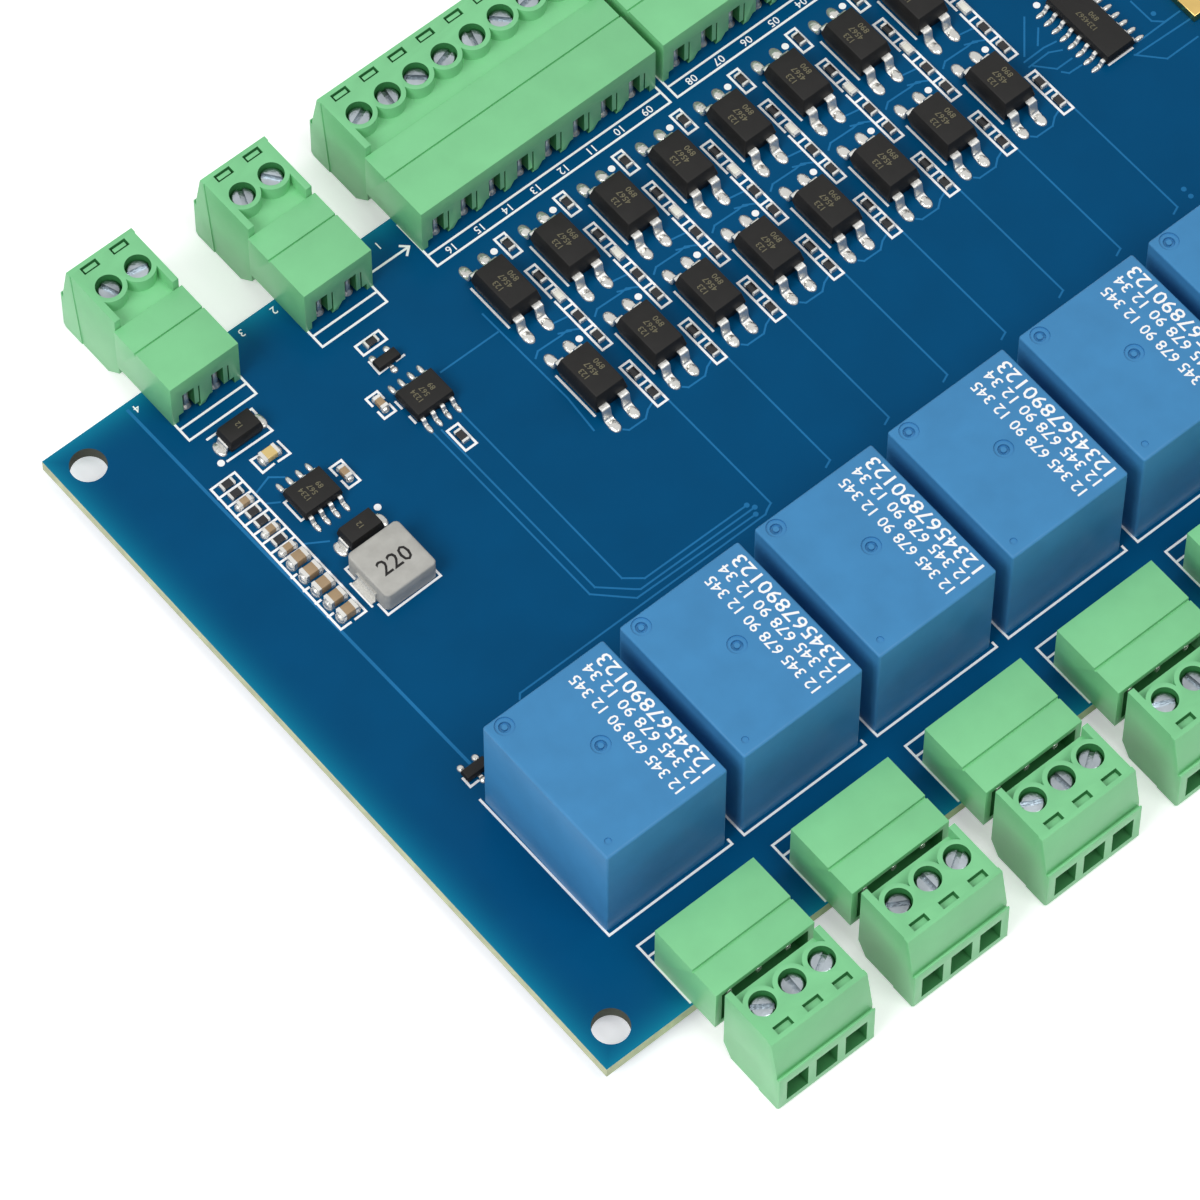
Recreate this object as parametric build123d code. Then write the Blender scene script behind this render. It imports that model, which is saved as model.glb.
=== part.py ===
from build123d import *
from math import radians, tan
import os

# Relay module board: eight relays, pluggable terminals on both long edges, two rows of
# input couplers, a driver chip, a bus chip and a small switching supply on one board.
# Lengths are in millimetres. The frame's origin is the centre of the mounting holes on the
# board's underside, X runs along the relay row, Y from the relay edge to the input edge, Z up.
# Places on the board are counted from its left edge and from its front or back edge.

# Circuit board
board_length = 158.0
board_width = 90.5
board_thickness = 1.6
mounting_hole_diameter = 4.0
mounting_hole_inset = 3.4

# Relays, one for each channel
channel_count = 8
channel_pitch = 17.6
channel_row_shift = 0.15
relay_width = 15.5
relay_depth = 19.2
relay_height = 15.4
relay_front_inset = 11.7
relay_edge_bevel = 0.4
relay_wall = 0.8
relay_base_height = 2.0
relay_standoff = 0.3
relay_mark_diameter = 1.6
relay_mark_depth = 0.2
relay_mark_inset = 1.85
relay_pin_width = 0.9
relay_pin_thickness = 0.5
relay_pin_spread = 12.0
relay_contact_pin_inset = 2.5
relay_coil_pin_inset = 4.5

# Terminal pitch and the pins that join a header to the board
pole_pitch = 3.81
pin_size = 0.8
pin_tail = 1.3
pin_height = 3.3

# Board headers, measured back from their rear face
header_end_margin = 2.55
header_height = 7.0
header_depth = 9.3
header_lip_depth = 3.5
header_lip_drop = 0.15
header_wall = 0.8
header_rear_wall = 2.6
header_underside_rise = 1.2
header_recess_width = 1.5
header_recess_depth = 1.7
header_recess_top = 4.5
header_recess_slope = 0.6
header_recess_shift = 0.35
header_tab_width = 0.75
header_tab_bevel = 0.6
header_tab_drop = 0.95
front_header_inset = 6.0
back_header_inset = 5.3

# Screw plugs, measured out from the mouth of their header
plug_end_margin = 2.28
plug_top = 8.2
plug_bottom = -3.9
plug_rear_gap = 1.0
plug_top_depth = 8.1
plug_brow_depth = 9.3
plug_brow_height = 2.7
plug_frame_step = 0.15
plug_front_depth = 9.6
plug_corner_radius = 0.6
plug_rear_chamfer = 1.2
plug_rear_chamfer_height = 2.0
plug_front_block_proud = 0.1
plug_front_block_top_depth = 7.5
plug_front_block_bottom_depth = 6.5
plug_side_wall = 0.75
plug_ledge_height = 6.3
plug_neck_clearance = 0.2
plug_neck_end_gap = 0.5
screw_line_depth = 4.0
screw_hole_diameter = 2.75
screw_boss_diameter = 3.9
test_slot_width = 2.0
test_slot_length = 0.8
test_slot_depth = 1.2
test_slot_line_depth = 7.1
wire_entry_width = 2.85
wire_entry_height = 3.85
wire_entry_centre_height = -0.7
wire_entry_draft = 2.0
wire_chamber_depth = 7.4
screw_diameter = 2.4
screw_top = 7.5
clamp_clearance = 0.1
clamp_depth = 3.0
clamp_thickness = 0.6

# Terminals: left ends on the back edge, from the board's left edge, and poles of each kind
supply_header_left = 13.0
bus_header_left = 30.6
input_header_left = 46.15
input_header_gap = 1.05
supply_poles = 2
output_poles = 3
input_poles = 8
input_header_count = 2

# Input couplers, in two rows of eight, with the parts that serve each of them
coupler_count = 8
coupler_pitch = 8.0
coupler_left = 49.17
back_coupler_inset = 15.4
front_coupler_inset = 29.3
coupler_width = 4.3
coupler_length = 6.5
coupler_height = 3.5
coupler_draft = 12.0
coupler_lead_spread = 2.54
coupler_lead_width = 1.05
coupler_lead_height = 1.85
coupler_lead_reach = 5.1

# Chips with gull-wing leads: places from the left and back edges
driver_place = (118.25, 29.0)
bus_chip_place = (34.93, 19.45)
regulator_place = (18.7, 21.2)
driver_leads_per_side = 8
small_chip_leads_per_side = 4
chip_body_width = 3.9
chip_height = 1.65
chip_standoff = 0.15
chip_draft = 10.0
chip_lead_pitch = 1.27
chip_end_margin = 0.2
chip_lead_width = 0.42
chip_lead_height = 0.85
chip_lead_reach = 3.0
lead_thickness = 0.22
lead_heel_share = 0.45

# Supply parts
inductor_side = 6.65
inductor_height = 3.0
inductor_corner_radius = 0.6
inductor_terminal_width = 3.2
inductor_terminal_reach = 0.75
inductor_terminal_height = 1.6
diode_length = 4.3
diode_width = 2.6
diode_height = 2.1
diode_terminal_width = 1.45
diode_terminal_reach = 0.5

# Small two-ended parts: length, width and height
small_chip = (1.6, 0.8, 0.5)
small_capacitor = (1.6, 0.8, 0.8)
bulk_capacitor = (2.0, 1.25, 1.25)
small_led = (1.6, 0.8, 0.6)
power_led = (2.0, 1.25, 0.9)

# Places of the small parts, from the left and back edges
coupler_strip_shift = 4.3
coupler_resistor_insets = (10.5, 15.65, 22.0, 25.1, 30.95, 34.0)
coupler_led_inset = 18.75
supply_strip_left = 12.85
supply_strip_inset = 14.45
supply_strip_pitch = 1.42
supply_strip_kinds = (
    "resistor", "resistor", "capacitor", "resistor",
    "resistor", "capacitor", "resistor", "capacitor",
)
bulk_strip_inset = 26.12
bulk_strip_pitch = 2.0
bulk_count = 5
upright_capacitor_places = ((22.95, 21.15), (31.0, 17.05))
bus_bias_resistor = (34.95, 10.6)
bus_end_resistor = (34.97, 25.4)
power_led_place = (18.37, 14.5)

# Small three-legged transistors
transistor_length = 2.9
transistor_width = 1.3
transistor_height = 1.0
transistor_lead_width = 0.42
transistor_lead_reach = 1.2
transistor_lead_spread = 1.9
bus_transistor_place = (34.75, 13.45)
relay_transistor_shift = 6.3
relay_transistor_gap = 3.1

# Controller and crystal
controller_left = 137.0
controller_inset = 31.0
controller_size = (7.0, 7.0, 0.9)
crystal_size = (3.2, 5.0, 1.2)
crystal_left = 128.75
crystal_inset = 33.2

# Places of the supply parts, from the left and back edges
inductor_left = 19.37
inductor_inset = 33.3
diode_places = ((17.58, 10.6), (19.68, 27.8))

# Sides of the small rounds that repeat at every pole
small_round_sides = 8

left_edge = -board_length / 2
front_edge = -board_width / 2
back_edge = board_width / 2
top_face = board_thickness


def block(low, high):
    """A box between two opposite corners."""
    centre = [(a + b) / 2 for a, b in zip(low, high)]
    size = [b - a for a, b in zip(low, high)]
    return Pos(*centre) * Box(*size)


def sideways(points, width):
    """An outline of (y, z) points, extruded along X to both sides of the YZ plane."""
    return extrude(Plane.YZ * Polygon(*points, align=None), amount=width / 2, both=True)


def small_round(diameter, low, high):
    """A small upright round, with few sides because it is repeated many times."""
    return Pos(0, 0, low) * extrude(RegularPolygon(diameter / 2, small_round_sides), high - low)


def frustum(low_size, high_size, low, high):
    """A straight-sided taper between two rectangles, one above the other."""
    faces = [
        Plane.XY.offset(z) * Rectangle(*size)
        for size, z in ((low_size, low), (high_size, high))
    ]
    return loft(faces, ruled=True)


def on_board(x, y_from_back):
    """A place on the board's top, from its left edge and its back edge."""
    return Pos(left_edge + x, back_edge - y_from_back, top_face)


def spread(count, pitch):
    """Evenly pitched places, centred on zero."""
    return [(i - (count - 1) / 2) * pitch for i in range(count)]


def channel_places():
    """The middle of each channel along X."""
    return [channel_row_shift + x for x in spread(channel_count, channel_pitch)]


relay_middle = front_edge + relay_front_inset + relay_depth / 2
pin_line = header_recess_depth - pin_size / 2


def relay_pin_places():
    """Two coil pins beside the common pin at the back, two contact pins at the front."""
    back = relay_depth / 2 - relay_contact_pin_inset
    coil = relay_depth / 2 - relay_coil_pin_inset
    side = relay_pin_spread / 2
    return [(0, back), (-side, coil), (side, coil), (-side, -back), (side, -back)]


def relay_cover():
    """A moulded cover with broken edges, a round mark at one corner and a seat for its base."""
    cover = Pos(0, 0, relay_standoff) * Box(
        relay_width, relay_depth, relay_height - relay_standoff,
        align=(Align.CENTER, Align.CENTER, Align.MIN),
    )
    upright = cover.edges().filter_by(Axis.Z)
    rim = cover.faces().sort_by(Axis.Z)[-1].edges()
    cover = chamfer(upright + rim, relay_edge_bevel)
    inner_width = relay_width - 2 * relay_wall
    inner_depth = relay_depth - 2 * relay_wall
    cover -= block(
        (-inner_width / 2, -inner_depth / 2, 0),
        (inner_width / 2, inner_depth / 2, relay_base_height),
    )
    mark_x = relay_mark_inset - relay_width / 2
    mark_y = relay_depth / 2 - relay_mark_inset
    mark = small_round(relay_mark_diameter, relay_height - relay_mark_depth, relay_height)
    return cover - Pos(mark_x, mark_y, 0) * mark


def relay_base():
    """The sealed base plate that closes the cover and stands on the board."""
    width = relay_width - 2 * relay_wall
    depth = relay_depth - 2 * relay_wall
    return block((-width / 2, -depth / 2, 0), (width / 2, depth / 2, relay_base_height))


def relay_pin_tail():
    """The soldered tail of one flat pin, below the board."""
    half_width = relay_pin_width / 2
    half_thickness = relay_pin_thickness / 2
    high = -board_thickness
    return block((-half_width, -half_thickness, high - pin_tail), (half_width, half_thickness, high))


def header(poles):
    """A board header with its mouth towards -Y and its rear face at y = 0."""
    width = (poles - 1) * pole_pitch + 2 * header_end_margin
    lip = header_height - header_lip_drop
    outline = [
        (0, header_underside_rise), (0, header_height),
        (header_lip_depth - header_depth, header_height),
        (header_lip_depth - header_depth, lip), (-header_depth, lip),
        (-header_depth, 0), (-header_rear_wall, 0), (-header_rear_wall, header_underside_rise),
    ]
    body = sideways(outline, width)
    for side in (-1, 1):
        foot = block((0, -header_rear_wall, 0), (header_wall, 0, header_underside_rise))
        body += Pos(side * (width - header_wall) / 2 - header_wall / 2, 0, 0) * foot
    body -= block(
        (header_wall - width / 2, -header_depth, header_wall),
        (width / 2 - header_wall, -header_rear_wall, lip - header_wall),
    )
    recess = sideways(
        [
            (0, 0), (-header_recess_depth, 0),
            (-header_recess_depth, header_recess_top - header_recess_slope),
            (0, header_recess_top),
        ],
        header_recess_width,
    )
    tab_low = header_underside_rise - header_tab_drop
    tab_outline = [
        (0, header_underside_rise), (0, tab_low), (-header_tab_width, tab_low),
        (-header_tab_width - header_tab_bevel, header_underside_rise),
    ]
    tab_face = Plane.XZ * Polygon(*tab_outline, align=None)
    tab = extrude(tab_face, amount=header_recess_depth, dir=(0, -1, 0))
    between = -pole_pitch / 4
    hole = block(
        (-pin_size / 2, -header_rear_wall, pin_height - pin_size / 2),
        (pin_size / 2, -header_recess_depth, pin_height + pin_size / 2),
    )
    for place, x in enumerate(spread(poles, pole_pitch)):
        if place > 0:
            body += Pos(x + between, 0, 0) * tab
        body -= Pos(x + header_recess_shift, 0, 0) * recess
        body -= Pos(x, 0, 0) * hole
    return body


def header_pin():
    """One bent pin: a leg down through the board and a prong out into the header's mouth."""
    rear = pin_size / 2 - pin_line
    front = -pin_line - pin_size / 2
    low = pin_height - pin_size / 2
    high = pin_height + pin_size / 2
    tip = header_wall - header_depth
    foot = -board_thickness - pin_tail
    outline = [(rear, foot), (rear, high), (tip, high), (tip, low), (front, low), (front, foot)]
    return sideways(outline, pin_size)


def plug(poles):
    """A screw plug seated in a header whose rear face is at y = 0."""
    mouth = -header_depth
    width = (poles - 1) * pole_pitch + 2 * plug_end_margin
    rear = mouth - plug_rear_gap
    top_front = mouth - plug_top_depth
    brow = mouth - plug_brow_depth
    front = mouth - plug_front_depth
    front_face = [
        (top_front, plug_top), (brow, plug_brow_height),
        (brow - plug_frame_step, plug_brow_height - plug_frame_step),
        (front, plug_bottom + plug_corner_radius), (front + plug_corner_radius, plug_bottom),
    ]
    outline = [(rear, plug_top)] + front_face + [
        (rear - plug_rear_chamfer, plug_bottom),
        (rear, plug_bottom + plug_rear_chamfer_height),
    ]
    body = sideways(outline, width)
    front_block = [(mouth - plug_front_block_top_depth, plug_top)] + front_face
    front_block.append((mouth - plug_front_block_bottom_depth, plug_bottom))
    body += sideways(front_block, width + 2 * plug_front_block_proud)

    screw_line = mouth - screw_line_depth
    ledge = block(
        (plug_side_wall - width / 2, screw_line, plug_ledge_height),
        (width / 2 - plug_side_wall, rear, plug_top),
    )
    boss = Pos(0, screw_line, 0) * small_round(screw_boss_diameter, plug_ledge_height, plug_top)
    for x in spread(poles, pole_pitch):
        ledge -= Pos(x, 0, 0) * boss
    body -= ledge

    neck_end = -header_rear_wall - plug_neck_end_gap
    neck_low = header_wall + plug_neck_clearance
    neck_high = header_height - header_lip_drop - header_wall - plug_neck_clearance
    neck_side = (poles - 1) * pole_pitch / 2 + header_end_margin - header_wall
    neck_side -= plug_neck_clearance
    body += block(
        (-neck_side, rear, neck_low),
        (neck_side, neck_end, neck_high),
    )

    wire_entry = frustum(chamber_size(), (wire_entry_width, wire_entry_height), 0, wire_chamber_depth)
    wire_entry = Pos(0, front + wire_chamber_depth, wire_entry_centre_height) * Rot(90, 0, 0) * wire_entry
    screw_hole = small_round(screw_hole_diameter, wire_entry_centre_height, plug_top)
    screw_hole = Pos(0, screw_line, 0) * screw_hole
    slot_line = mouth - test_slot_line_depth
    test_slot = block(
        (-test_slot_width / 2, slot_line - test_slot_length / 2, plug_top - test_slot_depth),
        (test_slot_width / 2, slot_line + test_slot_length / 2, plug_top),
    )
    prongs = (poles - 1) * pole_pitch + pin_size
    body -= block(
        (-prongs / 2, mouth + header_wall, pin_height - pin_size / 2),
        (prongs / 2, neck_end, pin_height + pin_size / 2),
    )
    for x in spread(poles, pole_pitch):
        for cut in (wire_entry, screw_hole, test_slot):
            body -= Pos(x, 0, 0) * cut
    return body


def chamber_size():
    """Width and height of a wire chamber at its inner end, after the taper of its entry."""
    narrowing = 2 * wire_chamber_depth * tan(radians(wire_entry_draft))
    return wire_entry_width - narrowing, wire_entry_height - narrowing


def terminal_screw():
    """A clamping screw, down to the clamp plate below it."""
    chamber_width, chamber_height = chamber_size()
    foot = wire_entry_centre_height + chamber_height / 2
    return Pos(0, -header_depth - screw_line_depth, 0) * small_round(screw_diameter, foot, screw_top)


def wire_clamp():
    """A clamp plate, pressed onto the wire by its screw from the chamber's ceiling."""
    chamber_width, chamber_height = chamber_size()
    half_width = chamber_width / 2 - clamp_clearance
    high = wire_entry_centre_height + chamber_height / 2
    middle = -header_depth - screw_line_depth
    return block(
        (-half_width, middle - clamp_depth / 2, high - clamp_thickness),
        (half_width, middle + clamp_depth / 2, high),
    )


def gull_wing(root, reach, height, width):
    """A lead in the YZ plane: down from the body's side, then flat along the board."""
    half = lead_thickness / 2
    heel = root + (reach - root) * lead_heel_share
    outline = [
        (root, height - half), (root, height + half), (heel + half, lead_thickness),
        (reach, lead_thickness), (reach, 0), (heel - half, 0),
    ]
    return sideways(outline, width)


def moulded_body(width, length, height, belt, draft):
    """A chip body drafted away from the belt of its leads."""
    def narrowed(rise):
        """The body's outline at a height above or below its belt."""
        cut = 2 * rise * tan(radians(draft))
        return width - cut, length - cut

    upper = frustum((width, length), narrowed(height - belt), belt, height)
    lower = frustum(narrowed(belt - chip_standoff), (width, length), chip_standoff, belt)
    return upper + lower


def lead_pairs(places, root, reach, height, width):
    """Gull-wing leads at places along X, on both long sides of a body."""
    leads = []
    for x in places:
        lead = Pos(x, 0, 0) * gull_wing(root, reach, height, width)
        leads += [lead, Rot(0, 0, 180) * lead]
    return leads


def chip(leads_per_side):
    """Body and leads of a chip with its leads towards -Y and +Y."""
    length = leads_per_side * chip_lead_pitch - chip_end_margin
    body = moulded_body(length, chip_body_width, chip_height, chip_lead_height, chip_draft)
    places = spread(leads_per_side, chip_lead_pitch)
    half = chip_body_width / 2
    return body, lead_pairs(places, half, chip_lead_reach, chip_lead_height, chip_lead_width)


def write(name, solids):
    """One file for each sub-part, which holds one solid or a group of like solids."""
    solids = solids if isinstance(solids, list) else [solids]
    shape = solids[0] if len(solids) == 1 else Compound(children=solids)
    export_step(shape, f"parts/{name}.step")


os.makedirs("parts", exist_ok=True)

# Relays
covers = relay_cover()
bases, relay_tails = [], []
for number, x in enumerate(channel_places(), start=1):
    seat = Pos(x, relay_middle, top_face)
    write(f"relay_cover_{number}", seat * covers)
    bases.append(seat * relay_base())
    relay_tails += [seat * Pos(px, py, 0) * relay_pin_tail() for px, py in relay_pin_places()]
write("relay_bases", bases)
write("relay_pin_tails", relay_tails)

# Terminals: name, number, poles, and the place of the header's rear face
terminals = []
for number, x in enumerate(channel_places(), start=1):
    seat = Pos(x, front_edge + front_header_inset, top_face)
    terminals.append(("output", f"_{number}", output_poles, seat))


def back_terminal(name, suffix, poles, left):
    """A terminal on the back edge, turned so that its mouth looks outwards."""
    middle = left + header_end_margin + (poles - 1) * pole_pitch / 2
    seat = on_board(middle, back_header_inset) * Rot(0, 0, 180)
    terminals.append((name, suffix, poles, seat))


back_terminal("supply", "", supply_poles, supply_header_left)
back_terminal("bus", "", supply_poles, bus_header_left)
input_width = (input_poles - 1) * pole_pitch + 2 * header_end_margin
for number in range(input_header_count):
    left = input_header_left + number * (input_width + input_header_gap)
    back_terminal("input", f"_{number + 1}", input_poles, left)

headers = {poles: header(poles) for poles in (supply_poles, output_poles, input_poles)}
plugs = {poles: plug(poles) for poles in (supply_poles, output_poles, input_poles)}
screws, clamps, header_pins = [], [], []
for name, suffix, poles, seat in terminals:
    write(f"{name}_header{suffix}", seat * headers[poles])
    write(f"{name}_plug{suffix}", seat * plugs[poles])
    for x in spread(poles, pole_pitch):
        screws.append(seat * Pos(x, 0, 0) * terminal_screw())
        clamps.append(seat * Pos(x, 0, 0) * wire_clamp())
        header_pins.append(seat * Pos(x, 0, 0) * header_pin())
write("terminal_screws", screws)
write("wire_clamps", clamps)
write("header_pins", header_pins)

# Circuit board, with a hole for each mounting screw and each header pin
board = Pos(0, 0, board_thickness / 2) * Box(board_length, board_width, board_thickness)
hole_x = board_length / 2 - mounting_hole_inset
hole_y = board_width / 2 - mounting_hole_inset
mounting_hole = Cylinder(mounting_hole_diameter / 2, 4 * board_thickness)
cuts = [Pos(sx * hole_x, sy * hole_y, 0) * mounting_hole for sx in (-1, 1) for sy in (-1, 1)]
board -= cuts + header_pins
write("circuit_board", board)

# Input couplers
coupler = moulded_body(
    coupler_width, coupler_length, coupler_height, coupler_lead_height, coupler_draft
)
coupler_leads = []
for row, inset in (("back", back_coupler_inset), ("front", front_coupler_inset)):
    seats = [on_board(coupler_left + i * coupler_pitch, inset) for i in range(coupler_count)]
    write(f"{row}_row_couplers", [seat * coupler for seat in seats])
    for seat in seats:
        leads = lead_pairs(
            spread(2, coupler_lead_spread), coupler_length / 2, coupler_lead_reach,
            coupler_lead_height, coupler_lead_width,
        )
        coupler_leads += [seat * lead for lead in leads]
write("coupler_leads", coupler_leads)

# Chips: name, leads on each side, place and turn
chip_leads = []
for name, leads_per_side, place, turn in (
    ("driver_chip", driver_leads_per_side, driver_place, 90),
    ("bus_chip", small_chip_leads_per_side, bus_chip_place, 0),
    ("regulator_chip", small_chip_leads_per_side, regulator_place, 0),
):
    body, leads = chip(leads_per_side)
    seat = on_board(*place) * Rot(0, 0, turn)
    write(name, seat * body)
    chip_leads += [seat * lead for lead in leads]
write("chip_leads", chip_leads)

# Controller and its crystal, on the board's right end
controller = Box(*controller_size, align=(Align.CENTER, Align.CENTER, Align.MIN))
write("controller_chip", on_board(controller_left, controller_inset) * controller)
crystal = Box(*crystal_size, align=(Align.CENTER, Align.CENTER, Align.MIN))
write("crystal", on_board(crystal_left, crystal_inset) * crystal)

# Inductor: a pressed block with rounded corners between two folded terminals
seat = on_board(inductor_left, inductor_inset)
core = extrude(
    RectangleRounded(inductor_side, inductor_side, inductor_corner_radius),
    amount=inductor_height,
)
write("power_inductor", seat * core)
terminal = sideways(
    [
        (0, 0), (-inductor_terminal_reach, 0), (-inductor_terminal_reach, lead_thickness),
        (-lead_thickness, lead_thickness), (-lead_thickness, inductor_terminal_height),
        (0, inductor_terminal_height),
    ],
    inductor_terminal_width,
)
terminals = [
    seat * Rot(0, 0, turn) * Pos(0, -inductor_side / 2, 0) * terminal for turn in (90, -90)
]
write("inductor_terminals", terminals)

# Supply diodes, each with a folded terminal at both ends
diode = moulded_body(diode_width, diode_length, diode_height, diode_height / 2, chip_draft)
diodes, diode_terminals = [], []
for x, y_from_back in diode_places:
    seat = on_board(x, y_from_back) * Rot(0, 0, 90)
    diodes.append(seat * diode)
    leads = lead_pairs(
        [0], diode_length / 2, diode_length / 2 + diode_terminal_reach,
        diode_height / 2, diode_terminal_width,
    )
    diode_terminals += [seat * lead for lead in leads]
write("power_diodes", diodes)
write("diode_terminals", diode_terminals)


def chip_part(size):
    """A small two-ended part that lies along X on the board."""
    return Box(*size, align=(Align.CENTER, Align.CENTER, Align.MIN))


# Small parts: those of every coupler stand along Y, in the strip at its right
upright = Rot(0, 0, 90)
resistors, capacitors, leds = [], [], []
for i in range(coupler_count):
    x = coupler_left + coupler_strip_shift + i * coupler_pitch
    for inset in coupler_resistor_insets:
        resistors.append(on_board(x, inset) * upright * chip_part(small_chip))
    leds.append(on_board(x, coupler_led_inset) * upright * chip_part(small_led))

# The supply's strip at the left: eight small parts, then five bulk capacitors
for i, kind in enumerate(supply_strip_kinds):
    seat = on_board(supply_strip_left, supply_strip_inset + i * supply_strip_pitch)
    part = chip_part(small_capacitor if kind == "capacitor" else small_chip)
    (capacitors if kind == "capacitor" else resistors).append(seat * part)
bulk = []
for i in range(bulk_count):
    seat = on_board(supply_strip_left, bulk_strip_inset + i * bulk_strip_pitch)
    bulk.append(seat * chip_part(bulk_capacitor))

# Single parts beside the chips
for x, inset in upright_capacitor_places:
    capacitors.append(on_board(x, inset) * upright * chip_part(small_capacitor))
resistors.append(on_board(*bus_bias_resistor) * chip_part(small_chip))
resistors.append(on_board(*bus_end_resistor) * upright * chip_part(small_chip))
write("chip_resistors", resistors)
write("chip_capacitors", capacitors)
write("bulk_capacitors", bulk)
write("input_leds", leds)
write("power_led", on_board(*power_led_place) * chip_part(power_led))

# Small transistors: one beside the bus chip and one behind each relay
transistor = moulded_body(
    transistor_length, transistor_width, transistor_height, transistor_height / 2, chip_draft
)
seats = [on_board(*bus_transistor_place)]
for x in channel_places():
    seats.append(Pos(x - relay_transistor_shift, relay_middle + relay_depth / 2, top_face)
                 * Pos(0, relay_transistor_gap, 0))
transistor_lead = block(
    (-transistor_lead_width / 2, 0, 0),
    (transistor_lead_width / 2, transistor_lead_reach - transistor_width / 4, chip_standoff),
)
transistor_leads = []
for seat in seats:
    lead = Pos(0, -transistor_lead_reach, 0) * transistor_lead
    transistor_leads.append(seat * lead)
    for side in (-1, 1):
        far = Pos(side * transistor_lead_spread / 2, 0, 0) * Rot(0, 0, 180) * lead
        transistor_leads.append(seat * far)
write("small_transistors", [seat * transistor for seat in seats])
write("transistor_leads", transistor_leads)
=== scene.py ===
"""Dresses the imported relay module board: shapes, finishes, print, light and camera."""

from math import cos, pi, radians, sin

import bmesh
import bpy
from bpy.props import FloatProperty, FloatVectorProperty, PointerProperty
from mathutils import Matrix, Vector


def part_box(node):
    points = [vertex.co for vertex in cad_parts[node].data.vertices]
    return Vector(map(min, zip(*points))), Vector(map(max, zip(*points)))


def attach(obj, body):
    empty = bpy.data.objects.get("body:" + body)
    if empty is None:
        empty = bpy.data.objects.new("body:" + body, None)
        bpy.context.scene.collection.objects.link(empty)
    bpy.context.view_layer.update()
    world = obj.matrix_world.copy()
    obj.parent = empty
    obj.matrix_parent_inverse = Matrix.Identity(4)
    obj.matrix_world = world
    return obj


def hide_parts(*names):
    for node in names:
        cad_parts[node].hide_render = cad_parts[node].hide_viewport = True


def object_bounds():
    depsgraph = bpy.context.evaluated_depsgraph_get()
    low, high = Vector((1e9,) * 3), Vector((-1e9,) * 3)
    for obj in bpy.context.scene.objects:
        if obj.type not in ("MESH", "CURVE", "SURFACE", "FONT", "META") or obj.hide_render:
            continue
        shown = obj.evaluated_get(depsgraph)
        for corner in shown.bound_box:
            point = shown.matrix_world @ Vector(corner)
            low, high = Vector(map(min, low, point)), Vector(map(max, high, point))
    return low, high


bl_info = {
    "name": "Relay module board",
    "version": (1, 0, 0),
    "blender": (4, 5, 0),
    "location": "View3D > Sidebar > Relay board",
    "description": "Builds the looks of a relay module board around its CAD model",
    "category": "Object",
}

MM = 0.001
# Edges sharper than the first are rounded, edges flatter than the second are dissolved, and smooth
# shading breaks at the third
SHARP_ANGLE, FLAT_ANGLE, SHADING_ANGLE = radians(25), radians(1), radians(35)
# Points this near, in metres, count as one
SAME_PLACE = 0.001 * MM

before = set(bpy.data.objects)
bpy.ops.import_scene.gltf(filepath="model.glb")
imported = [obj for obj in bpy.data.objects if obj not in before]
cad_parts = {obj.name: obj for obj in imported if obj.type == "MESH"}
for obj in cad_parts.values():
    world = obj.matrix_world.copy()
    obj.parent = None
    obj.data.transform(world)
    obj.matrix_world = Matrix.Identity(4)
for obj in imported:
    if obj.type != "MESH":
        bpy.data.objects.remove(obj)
CAD_LOW, CAD_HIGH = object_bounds()
BOARD_LOW, BOARD_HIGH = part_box("circuit_board")

RELAYS = sorted(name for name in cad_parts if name.startswith("relay_cover"))
PLUGS = sorted(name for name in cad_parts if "_plug" in name)
HEADERS = sorted(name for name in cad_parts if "_header" in name)


# Places and shapes

def on_board(x, y, z=0.0):
    """A point in metres, from millimetres right of, behind and above the front left corner."""
    return Vector((BOARD_LOW.x + x * MM, BOARD_LOW.y + y * MM, BOARD_HIGH.z + z * MM))


def spread(count, pitch):
    """Evenly pitched places, centred on zero."""
    return [(i - (count - 1) / 2) * pitch for i in range(count)]


def box(bm, low, high):
    """A box between two opposite corners."""
    low, high = Vector(low), Vector(high)
    place = Matrix.Translation((low + high) / 2) @ Matrix.Diagonal((high - low).to_4d())
    return bmesh.ops.create_cube(bm, size=1.0, matrix=place)["verts"]


def seat(x, y, z=0.0, turn=0.0):
    """A place on the board, turned in degrees about the vertical, for shapes given in metres."""
    return Matrix.Translation(on_board(x, y, z)) @ Matrix.Rotation(radians(turn), 4, "Z")


def soften(bm, width, segments=2, edges=None):
    """Rounds the sharp edges of a shape."""
    if edges is None:
        edges = [
            e for e in bm.edges if len(e.link_faces) == 2 and e.calc_face_angle(0) > SHARP_ANGLE
        ]
    bmesh.ops.bevel(
        bm, geom=edges, offset=width, offset_type="OFFSET", segments=segments, profile=0.5,
        affect="EDGES", material=-1, clamp_overlap=True,
    )


# Weights that give every corner of a shape a place of its own in one order
ORDER = Vector((1.0, 0.7548, 0.5698))


def put_in_order(bm):
    """Sorts a shape's elements by their places, so that every run takes them in the same order."""
    bm.verts.sort(key=lambda vert: vert.co.dot(ORDER))
    bm.edges.sort(key=lambda edge: (edge.verts[0].co + edge.verts[1].co).dot(ORDER))
    bm.faces.sort(key=lambda face: face.calc_center_median().dot(ORDER))


def extrude_outline(bm, points, width):
    """A closed outline of (y, z) points, extruded along X to both sides of the YZ plane."""
    verts = [bm.verts.new((-width / 2, y, z)) for y, z in points]
    face = bm.faces.new(verts)
    made = bmesh.ops.extrude_face_region(bm, geom=[face])["geom"]
    grown = [v for v in made if isinstance(v, bmesh.types.BMVert)]
    bmesh.ops.translate(bm, verts=grown, vec=(width, 0, 0))
    put_in_order(bm)
    bmesh.ops.recalc_face_normals(bm, faces=bm.faces[:])


# Each run of a line stands this much above the last, in millimetres, so that none share a face
RUN_STEP = 0.0004


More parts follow.
